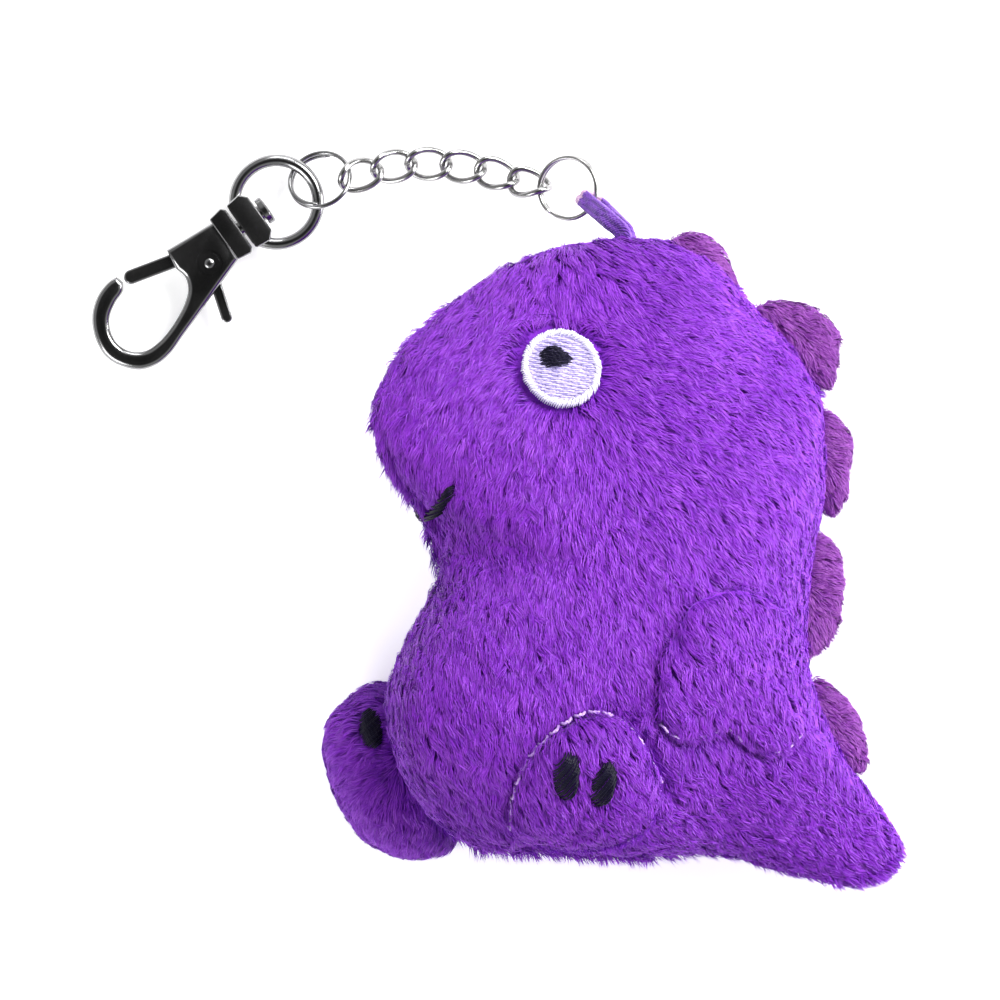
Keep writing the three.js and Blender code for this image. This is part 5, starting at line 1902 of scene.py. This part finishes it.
    def build_gate(self) -> None:
        """The sprung gate: arm, hub and thumb lever."""
        arm = self.plate(self.bar((-15.2, 1.65), (-22.4, 3.55), 1.1), self.gate_half, 0.3)
        for tool in (
            self.plate(self.bar(self.pin, (-15.2, 1.65), 1.1), self.gate_half, 0.3),
            self.plate(self.bar(self.pin, (-14.2, -9.8), 0.85), self.gate_half, 0.3),
            self.turned([(1.6, -0.95), (1.9, -0.7), (1.9, 0.7), (1.6, 0.95)], upright=self.pin),
        ):
            arm = boolean(arm, tool, "UNION")
        arm = boolean(arm, self.turned([(0.95, -3), (0.95, 3)], upright=self.pin), "DIFFERENCE")
        self.finish("trigger_gate", arm, "clasp_gate", "gate")


# ---------------------------------------------------------------- studio


@dataclass
class Studio:
    """Table, soft lights and a long-lens camera straight above."""

    centre: tuple[float, float] = (SHIFT[0] * MM, SHIFT[1] * MM)
    mid_height: float = 0.0172
    away: float = 2.5
    lens: float = 600.0
    table_half: float = 3.0
    lamps: tuple[tuple[str, tuple[float, float, float], float, float], ...] = (
        ("key", (0.45, 0.45, 0.62), 0.42, 9.5),
        ("fill", (-0.50, -0.50, 0.45), 0.5, 4.5),
        ("back", (0.05, 0.80, 0.40), 0.4, 3.2),
        ("rim", (0.85, 0.05, 0.20), 0.35, 9.0),
    )
    room_light: float = 0.55

    def build(self) -> None:
        """Sets the stage."""
        camera = bpy.data.cameras.new("camera")
        camera.lens, camera.sensor_width = self.lens, 36.0
        camera.clip_start, camera.clip_end = 0.05, 20.0
        seat = bpy.data.objects.new("camera", camera)
        seat.location = (*self.centre, self.mid_height + self.away)
        bpy.context.collection.objects.link(seat)
        bpy.context.scene.camera = seat
        bpy.context.scene.view_settings.view_transform = "Standard"
        side = self.table_half
        mesh = bpy.data.meshes.new("table_top")
        mesh.from_pydata(
            [(-side, -side, 0), (side, -side, 0), (side, side, 0), (-side, side, 0)], [], [(0, 1, 2, 3)]
        )
        mesh.transform(Matrix.Translation((0, 0, -0.0001)))
        mesh.materials.append(Finish.TABLE.material)
        table = bpy.data.objects.new("table_top", mesh)
        bpy.context.collection.objects.link(table)
        for lamp in self.lamps:
            self.lamp(*lamp)
        self.world()

    def lamp(self, name: str, place: tuple[float, float, float], size: float, power: float) -> None:
        """Adds one square soft light aimed at the object."""
        light = bpy.data.lights.new(name, "AREA")
        light.size, light.energy = size, power
        holder = bpy.data.objects.new(name, light)
        holder.location = place
        holder.rotation_euler = (Vector((0, 0, 0.01)) - Vector(place)).to_track_quat("-Z", "Y").to_euler()
        bpy.context.collection.objects.link(holder)

    def world(self) -> None:
        """A pale room, darker straight overhead."""
        world = bpy.data.worlds.new("room")
        bpy.context.scene.world = world
        world.use_nodes = True
        tree = world.node_tree
        coords = tree.nodes.new("ShaderNodeTexCoord")
        split = tree.nodes.new("ShaderNodeSeparateXYZ")
        ramp = tree.nodes.new("ShaderNodeValToRGB")
        tree.links.new(coords.outputs["Generated"], split.inputs[0])
        tree.links.new(split.outputs["Z"], ramp.inputs[0])
        tree.links.new(ramp.outputs[0], tree.nodes["Background"].inputs["Color"])
        stops = ((0.0, 0.75), (0.45, 0.95), (0.80, 0.85), (0.93, 0.10), (1.0, 0.03))
        while len(ramp.color_ramp.elements) < len(stops):
            ramp.color_ramp.elements.new(0.5)
        for element, (place, value) in zip(ramp.color_ramp.elements, stops):
            element.position, element.color = place, (value, value, value, 1)
        tree.nodes["Background"].inputs["Strength"].default_value = self.room_light


def foot_lift(share: np.ndarray, p: np.ndarray, q: np.ndarray) -> np.ndarray:
    """Height of the left foot's pad over the body."""
    return 0.2 + FOOT_RISE * np.sqrt(np.maximum(0, 1 - share**2.6)) + 0 * p


def wing_lift(share: np.ndarray, p: np.ndarray, q: np.ndarray) -> np.ndarray:
    """Height of the wing, highest along its free lower and front edges."""
    free = np.clip((4 - q) / 10, 0, 1) * np.clip((30 - p) / 10, 0.3, 1)
    return 0.1 + 0.6 * np.sqrt(np.maximum(0, 1 - share**5)) * free


def dress_inside() -> None:
    """Gives the sealed stuffing and the spring, which stay as they are, their own finishes."""
    for node, finish in (("stuffing", Finish.WHITE_THREAD), ("gate_spring", Finish.SPRING)):
        for slot in frame["nodes"][node].material_slots:
            slot.link = "OBJECT"
            slot.material = finish.material


def main() -> None:
    """Builds every sub-assembly in order."""
    logging.basicConfig(level=logging.INFO, format="%(name)s: %(message)s")
    Studio().build()
    PaddedBody().build()
    toes = tuple(
        oval(p - 0.4 * up, q + 0.9 * up, a, b, lean) for p, q, a, b, lean in TOES for up in (0, 1.0)
    )
    PaddedPatch("left_foot", LEFT, FOOT_PAD, foot_lift, "foot_left", avoid=toes, seed=31).build()
    PaddedPatch("left_wing", LEFT, WING, wing_lift, "wing_left", seed=33).build()
    PaddedPatch("right_wing", RIGHT, WING, wing_lift, "wing_right", seed=35).build()
    foot = RightFoot()
    foot.build()
    BackFins().build()
    Face().build()
    Toes().build(foot, FOOT_RISE)
    Topstitch(
        "leg_stitches", "leg_topstitch", LEG_PATH, pitch=2.2, share=0.8, thread=0.42, height=1.3
    ).build()
    Topstitch(
        "wing_stitches",
        "wing_topstitch",
        WING_PATH,
        pitch=2.2,
        thread=0.32,
        height=1.1,
        shown=lambda share: 0.4 < share < 0.75 or share > 0.85,
    ).build()
    HangingLoop().build()
    lower = {"heading": 0.0, "pitch": math.radians(24), "roll": 0.0, "start": math.radians(39)}
    SplitRing(
        "lower_split_ring", "split_ring_lower", "lower_ring", Finish.NICKEL, "bright_nickel", **lower
    ).build()
    upper = {
        "heading": math.radians(206.7), "pitch": 0.0, "roll": math.radians(33), "start": math.radians(230)
    }
    SplitRing(
        "upper_split_ring", "split_ring_upper", "upper_ring", Finish.GUNMETAL, "gunmetal", **upper
    ).build()
    CurbChain().build()
    clasp = Clasp()
    clasp.build_eye()
    clasp.build_hook()
    clasp.build_gate()
    dress_inside()


if __name__ == "__main__":
    main()
